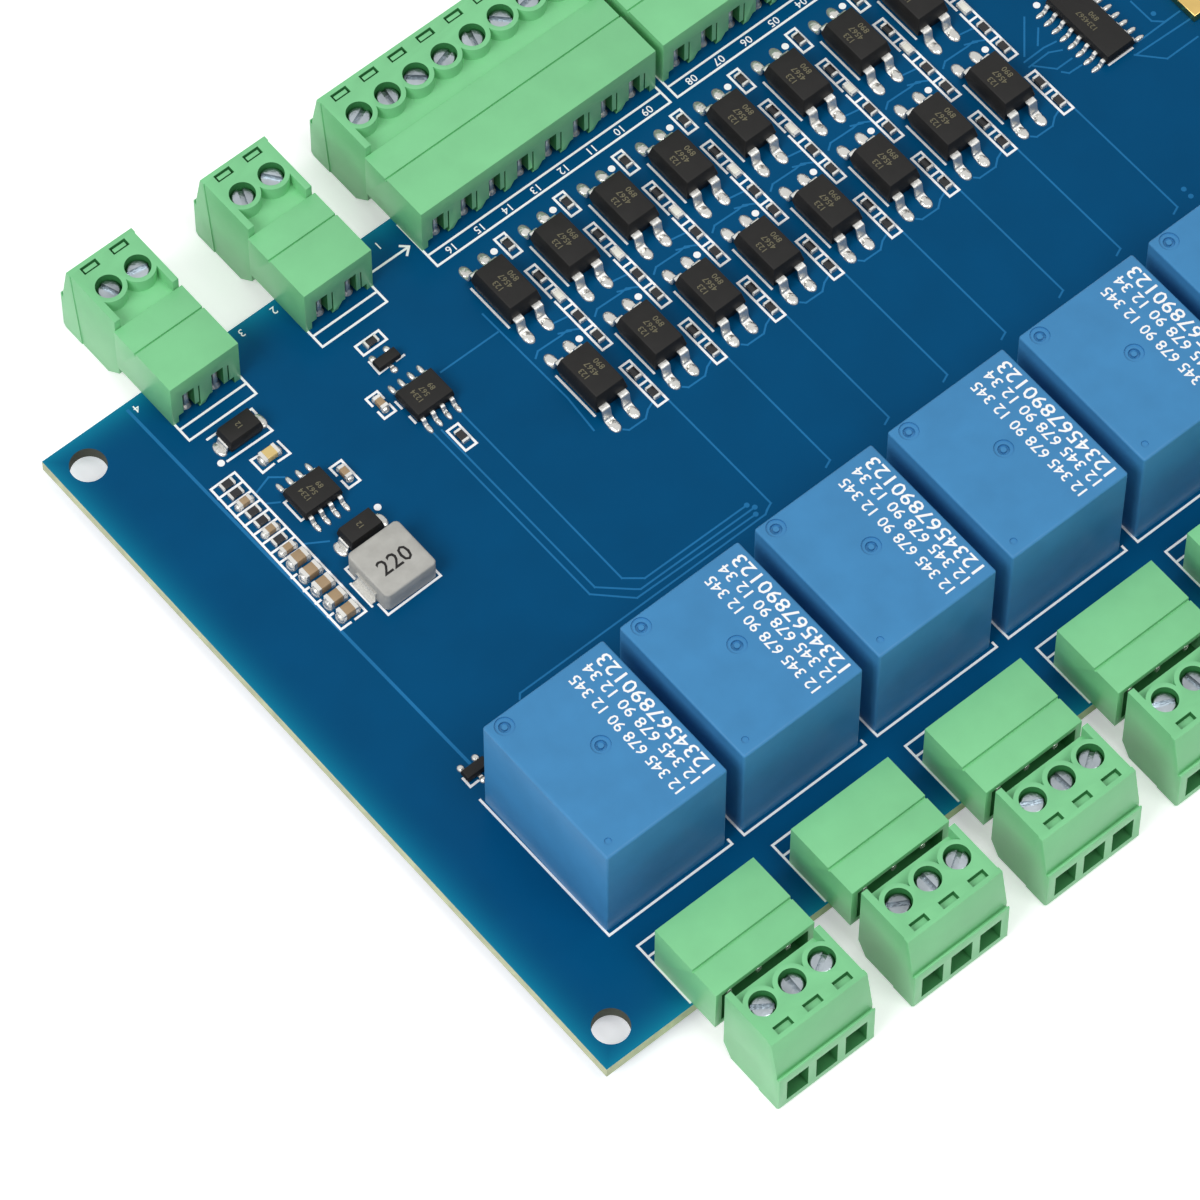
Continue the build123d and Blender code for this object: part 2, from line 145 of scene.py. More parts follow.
def stroke(bm, points, width, low, high):
    """A flat line along (x, y) points on the board, in millimetres."""
    for (x0, y0), (x1, y1) in zip(points, points[1:]):
        high += RUN_STEP
        run = Vector((x1 - x0, y1 - y0, 0))
        turn = Matrix.Rotation(Vector((1, 0, 0)).rotation_difference(run).to_euler().z, 4, "Z")
        size = Matrix.Diagonal(((run.length + width) * MM, width * MM, (high - low) * MM, 1))
        middle = on_board((x0 + x1) / 2, (y0 + y1) / 2, (low + high) / 2)
        bmesh.ops.create_cube(bm, size=1.0, matrix=Matrix.Translation(middle) @ turn @ size)


def box_of(points):
    """Lowest and highest corner of some points."""
    low = Vector([min(p[i] for p in points) for i in range(3)])
    high = Vector([max(p[i] for p in points) for i in range(3)])
    return low, high


def centre_of(points):
    """The middle of some points' box on the board, and the height of its top, in millimetres."""
    low, high = box_of(points)
    x, y = (((low + high) / 2 - on_board(0, 0)) / MM).xy
    return x, y, (high.z - BOARD_HIGH.z) / MM


def longer_way(low, high):
    """The axis along which a box is longer: 0 for X, 1 for Y."""
    return 0 if high.x - low.x > high.y - low.y else 1


def round_bar(bm, place, diameter, length, sides):
    """An upright round whose foot stands at a place."""
    lift = Matrix.Translation((0, 0, length / 2))
    return bmesh.ops.create_cone(
        bm, cap_ends=True, segments=sides, radius1=diameter / 2, radius2=diameter / 2,
        depth=length, matrix=place @ lift,
    )["verts"]


def new_object(name, bm):
    """An object with its own mesh, at the origin."""
    mesh = bpy.data.meshes.new(name)
    bm.to_mesh(mesh)
    bm.free()
    made = bpy.data.objects.new(name, mesh)
    bpy.context.scene.collection.objects.link(made)
    return made


def piece(name, bm, materials, replaces=()):
    """A finished piece that rides on the part, with one material or several."""
    made = new_object(name, bm)
    for material in materials if isinstance(materials, list) else [materials]:
        made.data.materials.append(material)
    made.data.shade_smooth()
    made.data.set_sharp_from_angle(angle=SHADING_ANGLE)
    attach(made, "root")
    if replaces:
        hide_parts(*replaces)
    return made


def cad_shape(node):
    """A merged copy of a CAD node's shape."""
    bm = bmesh.new()
    bm.from_mesh(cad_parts[node].data)
    bmesh.ops.remove_doubles(bm, verts=bm.verts[:], dist=SAME_PLACE)
    bmesh.ops.dissolve_limit(bm, angle_limit=FLAT_ANGLE, verts=bm.verts[:], edges=bm.edges[:])
    return bm


def copies(mould, places):
    """One shape that holds a copy of another at each place."""
    bm = bmesh.new()
    for place in places:
        pattern = bpy.data.meshes.new("pattern")
        mould.to_mesh(pattern)
        pattern.transform(place)
        bm.from_mesh(pattern)
        bpy.data.meshes.remove(pattern)
    mould.free()
    return bm


def join(bm, other):
    """Adds another shape to a shape."""
    mesh = bpy.data.meshes.new("joined")
    other.to_mesh(mesh)
    other.free()
    bm.from_mesh(mesh)
    bpy.data.meshes.remove(mesh)


def cut_out(body, cutters):
    """The body's shape less the cutters' shape, worked out by a Boolean modifier."""
    target = new_object("cut_body", body)
    tool = new_object("cut_tool", cutters)
    cut = target.modifiers.new("Cut", "BOOLEAN")
    cut.operation = "DIFFERENCE"
    cut.solver = "EXACT"
    cut.use_self = True
    cut.object = tool
    shaped = target.evaluated_get(bpy.context.evaluated_depsgraph_get())
    bm = bmesh.new()
    bm.from_mesh(shaped.to_mesh())
    shaped.to_mesh_clear()
    for done in (target, tool):
        mesh = done.data
        bpy.data.objects.remove(done)
        bpy.data.meshes.remove(mesh)
    bmesh.ops.dissolve_limit(bm, angle_limit=FLAT_ANGLE, verts=bm.verts[:], edges=bm.edges[:])
    return bm


# Materials

def linear(colour):
    """An sRGB hex colour as linear red, green, blue and alpha."""
    channels = [int(colour[i:i + 2], 16) / 255 for i in (1, 3, 5)]
    return [c / 12.92 if c <= 0.04045 else ((c + 0.055) / 1.055) ** 2.4 for c in channels] + [1.0]


def add_node(tree, kind, settings=None, links=None):
    """Adds a node, with settings by name, values by socket, and links from other nodes' outputs."""
    node = tree.nodes.new(kind)
    for name, value in (settings or {}).items():
        if isinstance(name, int) or name in node.inputs:
            node.inputs[name].default_value = value
        else:
            setattr(node, name, value)
    for name, source in (links or {}).items():
        tree.links.new(source, node.inputs[name])
    return node


def paint(name, description, value):
    """A colour property whose default is an sRGB hex colour."""
    return FloatVectorProperty(
        name=name, description=description, default=linear(value)[:3], subtype="COLOR",
        size=3, min=0.0, max=1.0,
    )


class BoardColours(bpy.types.PropertyGroup):
    """Colours of the board's materials."""

    mask: paint("Solder mask", "Blue mask over the laminate", "#014c78")
    rim: paint("Board rim", "Mask near the edges, where light comes through the laminate", "#0f7b9c")
    track: paint("Track", "Mask where it runs over a track", "#2473a8")
    laminate: paint("Laminate", "Sawn edge of the board", "#c2c8a4")
    # Painted shade: a dark colour in place of the shadow on the walls of the mounting holes
    drilled: paint("Drilled wall", "Wall of a drilled hole", "#45483c")
    ink: paint("Ink", "Printed lines and numbers", "#ffffff")
    faint_ink: paint("Faint ink", "Laser marks on the chips", "#6b664f")
    relay: paint("Relay", "Relay covers", "#4389bd")
    terminal: paint("Terminal", "Plugs and headers", "#80ce92")
    # Painted shade: a darker green in place of the shade inside the narrow recesses of the plugs and
    # headers
    recess: paint("Recess", "Narrow recesses of the plugs and headers", "#347a43")
    screw: paint("Screw", "Clamping screws", "#a9b2b8")
    lead: paint("Lead", "Tinned pins and leads", "#e4e3de")
    solder: paint("Solder", "Reflowed solder", "#d3d2cd")
    epoxy: paint("Black epoxy", "Bodies of the chips", "#1f1e1d")
    core: paint("Inductor", "Pressed core of the inductor", "#b2b1ab")
    ceramic: paint("Ceramic", "Bodies of the capacitors", "#a38a6a")
    film: paint("Resistor", "Overcoat of the resistors", "#1b1b1e")
    milky: paint("Milky resin", "Resin of the input lamps", "#f1f0e4")
    amber: paint("Amber resin", "Resin of the power lamp", "#dcc07c")
    gold: paint("Gold", "Gold-plated lid", "#d9b871")


# The clouds of a material's mottling: their size in grains, and where their shades begin and end
CLOUD_SIZE = 14
CLOUD_RANGE = (0.3, 0.7)


def surface(name, colour, roughness, metallic=0.0, grain=0.3, relief=0.004, mottle=0.06, **more):
    """A material with a fine grain: its size and relief in millimetres, and its share of mottling."""
    material = bpy.data.materials.new(name)
    material.use_nodes = True
    tree = material.node_tree
    shader = tree.nodes["Principled BSDF"]
    shader.inputs["Roughness"].default_value = roughness
    shader.inputs["Metallic"].default_value = metallic
    for socket, value in more.items():
        shader.inputs[socket.replace("_", " ")].default_value = value
    place = add_node(tree, "ShaderNodeTexCoord")
    cloud = add_node(
        tree, "ShaderNodeTexNoise", {"Scale": 1 / (CLOUD_SIZE * grain * MM), "Detail": 3.0},
        {"Vector": place.outputs["Object"]},
    )
    base = getattr(bpy.context.scene.board_colours, colour)
    tint = add_node(tree, "ShaderNodeValToRGB", links={"Fac": cloud.outputs["Fac"]})
    shades = ([c * (1 - mottle) for c in base], [min(1.0, c * (1 + mottle)) for c in base])
    for stop, position, shade in zip(tint.color_ramp.elements, CLOUD_RANGE, shades):
        stop.position = position
        stop.color = shade + [1.0]
    tree.links.new(tint.outputs["Color"], shader.inputs["Base Color"])
    pits = add_node(
        tree, "ShaderNodeTexNoise", {"Scale": 1 / (grain * MM), "Detail": 2.0},
        {"Vector": place.outputs["Object"]},
    )
    bump = add_node(
        tree, "ShaderNodeBump", {"Strength": 1.0, "Distance": relief * MM},
        {"Height": pits.outputs["Fac"]},
    )
    tree.links.new(bump.outputs["Normal"], shader.inputs["Normal"])
    return material


# The mask's lighter rim: how far it reaches in from the board's edge, in millimetres, and its fall
RIM_REACH = 5.0
RIM_FALL = 3.0


def solder_mask():
    """Glossy blue solder mask over copper, lit through the laminate along the board's edges."""
    material = surface(
        "solder_mask_blue", "mask", 0.3, grain=0.5, relief=0.003, mottle=0.05,
        Specular_IOR_Level=0.06,
    )
    tree = material.node_tree
    shader = tree.nodes["Principled BSDF"]
    plain = shader.inputs["Base Color"].links[0].from_socket
    place = add_node(tree, "ShaderNodeTexCoord")
    axes = add_node(tree, "ShaderNodeSeparateXYZ", links={0: place.outputs["Object"]})
    gaps = []
    for i, half in ((0, (BOARD_HIGH.x - BOARD_LOW.x) / 2), (1, (BOARD_HIGH.y - BOARD_LOW.y) / 2)):
        away = add_node(tree, "ShaderNodeMath", {"operation": "ABSOLUTE"}, {0: axes.outputs[i]})
        gaps.append(add_node(
            tree, "ShaderNodeMapRange", {"From Min": half - RIM_REACH * MM, "From Max": half},
            {"Value": away.outputs[0]},
        ))
    near = add_node(
        tree, "ShaderNodeMath", {"operation": "MAXIMUM"},
        {0: gaps[0].outputs[0], 1: gaps[1].outputs[0]},
    )
    glow = add_node(
        tree, "ShaderNodeMath", {"operation": "POWER", 1: RIM_FALL}, {0: near.outputs[0]}
    )
    rim = (*bpy.context.scene.board_colours.rim, 1.0)
    mixed = add_node(
        tree, "ShaderNodeMixRGB", {"Color2": rim}, {"Fac": glow.outputs[0], "Color1": plain},
    )
    tree.links.new(mixed.outputs[0], shader.inputs["Base Color"])
    return material


def masked_copper():
    """Solder mask where it runs over a track: lighter than over bare laminate."""
    return surface(
        "masked_copper_track", "track", 0.3, grain=0.5, relief=0.003, Specular_IOR_Level=0.06
    )


def glass_laminate():
    """Sawn edge of glass epoxy laminate: pale and slightly rough."""
    return surface("glass_epoxy_laminate", "laminate", 0.7, grain=0.15, relief=0.02, mottle=0.15)


def drilled_laminate():
    """Drilled wall in glass epoxy laminate: rough, and dark as painted shade for the shadow inside
    the hole.
    """
    return surface("drilled_epoxy_laminate", "drilled", 0.8, grain=0.15, relief=0.02, mottle=0.15)


def white_ink():
    """Screen-printed epoxy ink: matt, slightly uneven."""
    return surface("white_epoxy_ink", "ink", 0.6, grain=0.3, relief=0.004, mottle=0.03)


def laser_mark():
    """Laser-burnt epoxy of the marks on the chips: matt and brownish."""
    return surface("laser_burnt_epoxy", "faint_ink", 0.7, grain=0.2, relief=0.004, mottle=0.12)


def relay_nylon():
    """Moulded glass-filled nylon of the relays: satin, faintly mottled."""
    return surface(
        "glass_filled_nylon_blue", "relay", 0.36, grain=0.25, relief=0.006, mottle=0.05,
        Specular_IOR_Level=0.25,
    )


def terminal_nylon():
    """Moulded nylon of the terminals: satin green."""
    return surface(
        "polyamide_green", "terminal", 0.36, grain=0.3, relief=0.005, mottle=0.04,
        Specular_IOR_Level=0.4,
    )


def recess_nylon():
    """The same nylon in narrow recesses: rougher, and darker as painted shade for the little light
    that comes back out.
    """
    return surface(
        "polyamide_green_recess", "recess", 0.6, grain=0.3, relief=0.005, mottle=0.06,
        Specular_IOR_Level=0.15,
    )


def zinc_plated_steel():
    """Zinc-plated steel of the clamping screws: bright, with fine marks of the driver."""
    return surface("zinc_plated_steel", "screw", 0.28, 1.0, grain=0.35, relief=0.04, mottle=0.35)


def tinned_bronze():
    """Tin-plated pins and leads: bright and a little soft."""
    return surface("tinned_bronze", "lead", 0.26, 0.7, grain=0.4, relief=0.04, mottle=0.1)


def solder():
    """Reflowed tin solder: bright, smooth and slightly wavy."""
    return surface("reflowed_solder", "solder", 0.2, 0.7, grain=0.6, relief=0.12, mottle=0.1)


def black_epoxy():
    """Transfer-moulded black epoxy of the chips: matt, finely grained."""
    return surface(
        "moulded_black_epoxy", "epoxy", 0.55, grain=0.12, relief=0.01, mottle=0.12,
        Specular_IOR_Level=0.25,
    )


def grey_epoxy():
    """Pressed iron powder with grey epoxy coating, on the inductor: finely speckled."""
    return surface("iron_powder_grey", "core", 0.5, grain=0.12, relief=0.015, mottle=0.1)


def barium_ceramic():
    """Fired ceramic of the capacitors: smooth and waxy."""
    return surface("barium_titanate_ceramic", "ceramic", 0.5, grain=0.12, relief=0.006, mottle=0.08)


def resistor_glass():
    """Black glass overcoat of the resistors: glossy."""
    return surface("resistor_black_glass", "film", 0.25, grain=0.12, relief=0.006, mottle=0.1)


def led_resin():
    """Milky resin over a small lamp: smooth and pale."""
    return surface("milky_epoxy_resin", "milky", 0.3, grain=0.2, relief=0.004, mottle=0.03)


def amber_resin():
    """Amber resin of the power lamp: smooth and clear-looking."""
    return surface("amber_epoxy_resin", "amber", 0.2, grain=0.2, relief=0.004, mottle=0.08)


def gold_plate():
    """Gold-plated lid and pads: warm and bright."""
    return surface("gold_plate", "gold", 0.28, 1.0, grain=0.2, relief=0.005)


# Board

HOLE_SIDES = 48


def board_shape():
    """The laminate with its mounting holes, without the hidden pin holes."""
    bm = bmesh.new()
    box(bm, BOARD_LOW, BOARD_HIGH)
    cutters = bmesh.new()
    sizes = bpy.context.scene.board_sizes
    inset = sizes.hole_inset
    for x in (BOARD_LOW.x + inset, BOARD_HIGH.x - inset):
        for y in (BOARD_LOW.y + inset, BOARD_HIGH.y - inset):
            round_bar(
                cutters, Matrix.Translation((x, y, BOARD_LOW.z - MM)), sizes.hole_diameter,
                BOARD_HIGH.z - BOARD_LOW.z + 2 * MM, HOLE_SIDES,
            )
    return cut_out(bm, cutters)


class BoardSizes(bpy.types.PropertyGroup):
    """Sizes of the board and its terminals."""

    hole_diameter: FloatProperty(
        name="Hole diameter", description="Diameter of the mounting holes",
        default=4.0 * MM, unit="LENGTH",
    )
    hole_inset: FloatProperty(
        name="Hole inset", description="From the board's edges to a hole's centre",
        default=3.4 * MM, unit="LENGTH",
    )
    print_width: FloatProperty(
        name="Print width", description="Width of the printed lines",
        default=0.26 * MM, unit="LENGTH",
    )
    pole_pitch: FloatProperty(
        name="Pole pitch", description="Distance between the poles of a terminal",
        default=3.81 * MM, unit="LENGTH",
    )
    screw_diameter: FloatProperty(
        name="Screw diameter", description="Diameter of a clamping screw's head",
        default=2.5 * MM, unit="LENGTH",
    )


class BOARD_OT_laminate(bpy.types.Operator):
    """Builds the circuit board with its mask, sawn edges and drilled holes, whose walls get painted
    shade
    """

    bl_idname = "board.laminate"
    bl_label = "Circuit board"

    def execute(self, context):
        bm = board_shape()
        finishes = [solder_mask(), glass_laminate(), drilled_laminate()]
        made = piece("board_laminate", bm, finishes, ["circuit_board"])
        for face in made.data.polygons:
            if abs(face.normal.z) < 0.5:
                inset = min(
                    BOARD_HIGH.x - abs(face.center.x), BOARD_HIGH.y - abs(face.center.y),
                )
                # Walls of the mounting holes take the painted shade, the sawn edges the laminate
                # colour
                face.material_index = 2 if inset > MM / 2 else 1
        return {"FINISHED"}


# Relays, in millimetres: the edge's radius, and the diameter, depth and sides of each moulded mark

RELAY_EDGE = 0.3
GATE_DISH = (2.15, 0.22, 40)
GATE_RING = (1.3, 0.55, 32)
GATE_PIP = (0.6, 0.2, 20)
EJECTOR_DOT = (0.8, 0.15, 24)
MIDDLE_GATE_BACK = 0.6
CORNER_GATE_INSET = (1.77, 1.35)
EJECTOR_DOT_INSET = (1.4, 1.5)


def sink(bm, place, mark):
    """An upright round cutter that ends at a mark's depth below a place."""
    diameter, depth, sides = mark
    foot = Matrix.Translation(place - Vector((0, 0, depth * MM)))
    round_bar(bm, foot, diameter * MM, MM, sides)


def gate_mark(bm, place):
    """Cutters for a dish with a ring in it, round a pip."""
    sink(bm, place, GATE_DISH)
    ring, pip = bmesh.new(), bmesh.new()
    sink(ring, place, GATE_RING)
    diameter, depth, sides = GATE_PIP
    foot = Matrix.Translation(place - Vector((0, 0, MM)))
    round_bar(pip, foot, diameter * MM, (1 - depth) * MM, sides)
    join(bm, cut_out(ring, pip))


class BOARD_OT_relays(bpy.types.Operator):
    """Builds the relays' rounded covers with their moulding marks"""

    bl_idname = "board.relays"
    bl_label = "Relays"

    def execute(self, context):
        material = relay_nylon()
        low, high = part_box(RELAYS[0])
        low.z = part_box("relay_bases")[0].z
        mould = bmesh.new()
        box(mould, low, high)
        above = [e for e in mould.edges if max(v.co.z for v in e.verts) > high.z - MM]
        soften(mould, RELAY_EDGE * MM, 4, above)
        cutters = bmesh.new()
        middle = (low + high) / 2
        gate_mark(cutters, Vector((middle.x, middle.y + MIDDLE_GATE_BACK * MM, high.z)))
        right, forward = (inset * MM for inset in CORNER_GATE_INSET)
        gate_mark(cutters, Vector((low.x + right, high.y - forward, high.z)))
        right, back = (inset * MM for inset in EJECTOR_DOT_INSET)
        sink(cutters, Vector((low.x + right, low.y + back, high.z)), EJECTOR_DOT)
        mould = cut_out(mould, cutters)
        for name in RELAYS:
            bm = mould.copy()
            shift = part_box(name)[1] - high
            bmesh.ops.translate(bm, vec=shift, verts=bm.verts[:])
            piece("dressed_" + name, bm, material, [name])
        mould.free()
        return {"FINISHED"}


# Headers, in millimetres: across from a pole's middle, in from the mouth and up from the board

HEADER_DEPTH = 9.3
HEADER_STEP = 3.5
STEP_LINE_WIDTH, STEP_LINE_DEPTH = 0.3, 0.5
PIN_SLOT = ((-0.4, 5.5, 0.5), (1.0, 8.2, 3.6))
WALL_SLIT = ((-1.12, HEADER_DEPTH - 0.5, 0.6), (-0.97, HEADER_DEPTH + 0.5, 4.2))
# The part of a header that gets painted shade: its depths and heights, and how far it stays off the
# ends of the step line's cutter
HEADER_SHADE_DEPTHS = (PIN_SLOT[0][1] - 0.1, HEADER_DEPTH - 0.1)
HEADER_SHADE_HEIGHTS = (0.3, 4.5)
HEADER_SHADE_INSET = 1.8
# From a housing's end to its first or last pole
POLE_INSET = 2.55
TERMINAL_EDGE = 0.1


def is_dark_recess(point, reach):
    """Whether a point lies in the painted shade of a header's rear recesses. The step line's cutter
    reaches so far.
    """
    (near, far), (low, high) = HEADER_SHADE_DEPTHS, HEADER_SHADE_HEIGHTS
    level = near * MM < point.y < far * MM and low * MM < point.z < high * MM
    return level and abs(point.x) < reach - HEADER_SHADE_INSET * MM


class BOARD_OT_headers(bpy.types.Operator):
    """Builds the board headers from the CAD shapes, with a step line, pin slots, soft edges and
    painted shade in the rear recesses
    """

    bl_idname = "board.headers"
    bl_label = "Headers"

    def execute(self, context):
        materials = [terminal_nylon(), recess_nylon()]
        pitch = context.scene.board_sizes.pole_pitch
        for name in HEADERS:
            low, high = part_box(name)
            place, poles = terminal_seat(name)
            reach, top = (high.x - low.x) / 2 + MM, high.z - BOARD_HIGH.z
            cutters = bmesh.new()
            box(
                cutters,
                (-reach, (HEADER_STEP - STEP_LINE_WIDTH / 2) * MM, top - STEP_LINE_DEPTH * MM),
                (reach, (HEADER_STEP + STEP_LINE_WIDTH / 2) * MM, top + MM),
            )
            for x in spread(poles, pitch):
                for (x0, y0, z0), (x1, y1, z1) in (PIN_SLOT, WALL_SLIT):
                    box(cutters, (x + x0 * MM, y0 * MM, z0 * MM), (x + x1 * MM, y1 * MM, z1 * MM))
            bmesh.ops.transform(cutters, matrix=place, verts=cutters.verts[:])
            bm = cut_out(cad_shape(name), cutters)
            back = place.inverted()
            for face in bm.faces:
                # Faces in the rear recesses take the recess colour: painted shade in place of the
                # shade that falls there
                face.material_index = int(is_dark_recess(back @ face.calc_center_median(), reach))
            soften(bm, TERMINAL_EDGE * MM)
            piece("dressed_" + name, bm, materials, [name])
        return {"FINISHED"}


# Plugs: outline and cuts measured out from the mouth of their header, in millimetres

PLUG_TOP, PLUG_BOTTOM = 8.2, -3.9
# Its front as (y, z), from the top down
PLUG_FACE = (
    (-8.1, PLUG_TOP), (-9.1, 3.1), (-9.1, 2.2), (-9.38, 2.2), (-9.4, 2.75), (-9.55, 2.65),
    (-9.6, -3.45), (-9.25, PLUG_BOTTOM),
)
# Where the bevel of its rear meets its foot and its rear
HEEL_DEPTH, HEEL_HEIGHT = -2.2, -1.9
# The front block, which is as wide as the whole plug: how deep it is at the top and at the foot
BLOCK_TOP_DEPTH, BLOCK_FOOT_DEPTH = -7.5, -6.5
# How far a plug's rear stands off the mouth, by whether it is on the front edge
PLUG_REAR = {True: 1.0, False: 0.15}
PLUG_CLEARANCE = 0.2
SCREW_LINE, SCREW_TOP = 4.0, 7.5
SCREW_HOLE, SCREW_COLLAR = 2.85, 3.9
SCREW_HOLE_SIDES, SCREW_COLLAR_SIDES = 40, 48
# Length of a cutter that goes through the whole plug
THROUGH = 20
COLLAR_LINE = 3.5
LEDGE_HEIGHT, SIDE_WALL = 6.3, 0.75
# Test slot: width, length and depth
TEST_SLOT = (2.05, 0.95, 0.85)
TEST_SLOT_GROOVE, TEST_PLATE_DEPTH = 0.24, 0.15
TEST_SLOT_LINE = 7.1
# Wire entry: width and height at its mouth, which it narrows by a share
WIRE_ENTRY = (2.85, 3.85)
WIRE_ENTRY_HEIGHT = -0.7
WIRE_ENTRY_ENDS = (-10.5, -3.5)
WIRE_ENTRY_TAPER = 0.8
# Depths between which the walls of a wire entry have their middles
WIRE_ENTRY_WALLS = (-9.3, -2.5)
PLUG_EDGE = 0.09
# How near a face's middle has to be to count as on a wall, and how far below the top as inside
NEAR, INSIDE = 0.02, 0.05


def is_recessed(face, poles, pitch):
    """Whether a plug's face lies in a wire entry or on a wall of a test slot or screw hole, and so
    gets painted shade.
    """
    middle = face.calc_center_median()
    x = min((middle.x - place for place in spread(poles, pitch)), key=abs)
    wide, high = WIRE_ENTRY
    near, far = WIRE_ENTRY_WALLS
    if near < middle.y < far and abs(middle.z - WIRE_ENTRY_HEIGHT) < high / 2 + NEAR:
        return abs(x) < wide / 2 + NEAR
    if middle.z > PLUG_TOP - INSIDE or abs(face.normal.z) > 0.5:
        return False
    wide, long, deep = TEST_SLOT
    beside_slot = max(abs(x) - wide / 2, abs(middle.y + TEST_SLOT_LINE) - long / 2)
    in_slot = beside_slot < NEAR and middle.z > PLUG_TOP - deep
    return in_slot or Vector((x, middle.y + SCREW_LINE)).length < SCREW_HOLE / 2 + NEAR


def test_slot(x, ringed):
    """Cutter for a test slot: a plain pocket, or a groove round a plate."""
    wide, long, deep = TEST_SLOT
    slot = bmesh.new()
    box(
        slot, (x - wide / 2, -TEST_SLOT_LINE - long / 2, PLUG_TOP - deep),
        (x + wide / 2, -TEST_SLOT_LINE + long / 2, PLUG_TOP + 1),
    )
    if not ringed:
        return slot
    wide, long = wide - 2 * TEST_SLOT_GROOVE, long - 2 * TEST_SLOT_GROOVE
    plate = bmesh.new()
    box(
        plate, (x - wide / 2, -TEST_SLOT_LINE - long / 2, PLUG_TOP - 2),
        (x + wide / 2, -TEST_SLOT_LINE + long / 2, PLUG_TOP - TEST_PLATE_DEPTH),
    )
    return cut_out(slot, plate)


def wire_entry(bm, x):
    """Cutter for a wire entry that narrows inwards."""
    wide, high = WIRE_ENTRY
    mouth, end = WIRE_ENTRY_ENDS
    entry = box(
        bm, (x - wide / 2, mouth, WIRE_ENTRY_HEIGHT - high / 2),
        (x + wide / 2, end, WIRE_ENTRY_HEIGHT + high / 2),
    )
    for v in entry:
        if v.co.y > mouth + NEAR:
            v.co.x = x + (v.co.x - x) * WIRE_ENTRY_TAPER
            v.co.z = WIRE_ENTRY_HEIGHT + (v.co.z - WIRE_ENTRY_HEIGHT) * WIRE_ENTRY_TAPER


def plug_shape(poles, width, front):
    """A plug of the front or back edge: it faces -Y, its header's mouth and the board's top at 0."""
    pitch = bpy.context.scene.board_sizes.pole_pitch / MM
    rear = PLUG_REAR[front]
    back = ((HEEL_DEPTH, PLUG_BOTTOM), (-rear, HEEL_HEIGHT), (-rear, PLUG_TOP))
    bm = bmesh.new()
    extrude_outline(bm, PLUG_FACE + back, width)
    block = bmesh.new()
    top, foot = (BLOCK_TOP_DEPTH, PLUG_TOP), (BLOCK_FOOT_DEPTH, PLUG_BOTTOM)
    extrude_outline(block, (top, *PLUG_FACE, foot), width + PLUG_CLEARANCE)
    join(bm, block)
    cutters = bmesh.new()
    box(
        cutters, (SIDE_WALL - width / 2, -COLLAR_LINE, LEDGE_HEIGHT),
        (width / 2 - SIDE_WALL, 0, PLUG_TOP + 1),
    )
    collars = bmesh.new()
    for x in spread(poles, pitch):
        middle = Matrix.Translation((x, -SCREW_LINE, 0))
        round_bar(collars, middle, SCREW_COLLAR, THROUGH, SCREW_COLLAR_SIDES)
    cutters = cut_out(cutters, collars)
    for x in spread(poles, pitch):
        middle = Matrix.Translation((x, -SCREW_LINE, 0))
        round_bar(cutters, middle, SCREW_HOLE, THROUGH, SCREW_HOLE_SIDES)
        join(cutters, test_slot(x, ringed=not front))
        wire_entry(cutters, x)
    bm = cut_out(bm, cutters)
    for face in bm.faces:
        # Faces in the wire entries and on the walls of the test slots and screw holes take the recess
        # colour: painted shade
        face.material_index = int(is_recessed(face, poles, pitch))
    bmesh.ops.scale(bm, vec=(MM, MM, MM), verts=bm.verts[:])
    soften(bm, PLUG_EDGE * MM)
    return bm


def terminal_seat(name):
    """Matrix that puts a plug shape on its header, and the header's poles."""
    low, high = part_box(name.replace("_plug", "_header"))
    pitch = bpy.context.scene.board_sizes.pole_pitch
    poles = round((high.x - low.x - 2 * POLE_INSET * MM) / pitch) + 1
    front = low.y < 0
    place = Vector(((low.x + high.x) / 2, low.y if front else high.y, BOARD_HIGH.z))
    return Matrix.Translation(place) @ Matrix.Rotation(0 if front else pi, 4, "Z"), poles


class BOARD_OT_plugs(bpy.types.Operator):
    """Builds the screw plugs, with painted shade in their recesses"""

    bl_idname = "board.plugs"
    bl_label = "Plugs"

    def execute(self, context):
        materials = [terminal_nylon(), recess_nylon()]
        moulds = {}
        for name in PLUGS:
            place, poles = terminal_seat(name)
            low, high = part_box(name)
            kind = (poles, low.y < 0)
            if kind not in moulds:
                width = (high.x - low.x) / MM - PLUG_CLEARANCE
                moulds[kind] = plug_shape(poles, width, low.y < 0)
            bm = moulds[kind].copy()
            bmesh.ops.transform(bm, matrix=place, verts=bm.verts[:])
            piece("dressed_" + name, bm, materials, [name])
        return {"FINISHED"}


# Clamping screws, in millimetres and degrees: each is turned on from the last by an uneven step

SCREW_LENGTH = 4.0
SCREW_EDGE, SCREW_SIDES = 0.2, 32
SCREW_SLOT_WIDTH, SCREW_SLOT_DEPTH = 0.6, 0.7
SCREW_TURN, SCREW_TURN_STEP = 37, 61


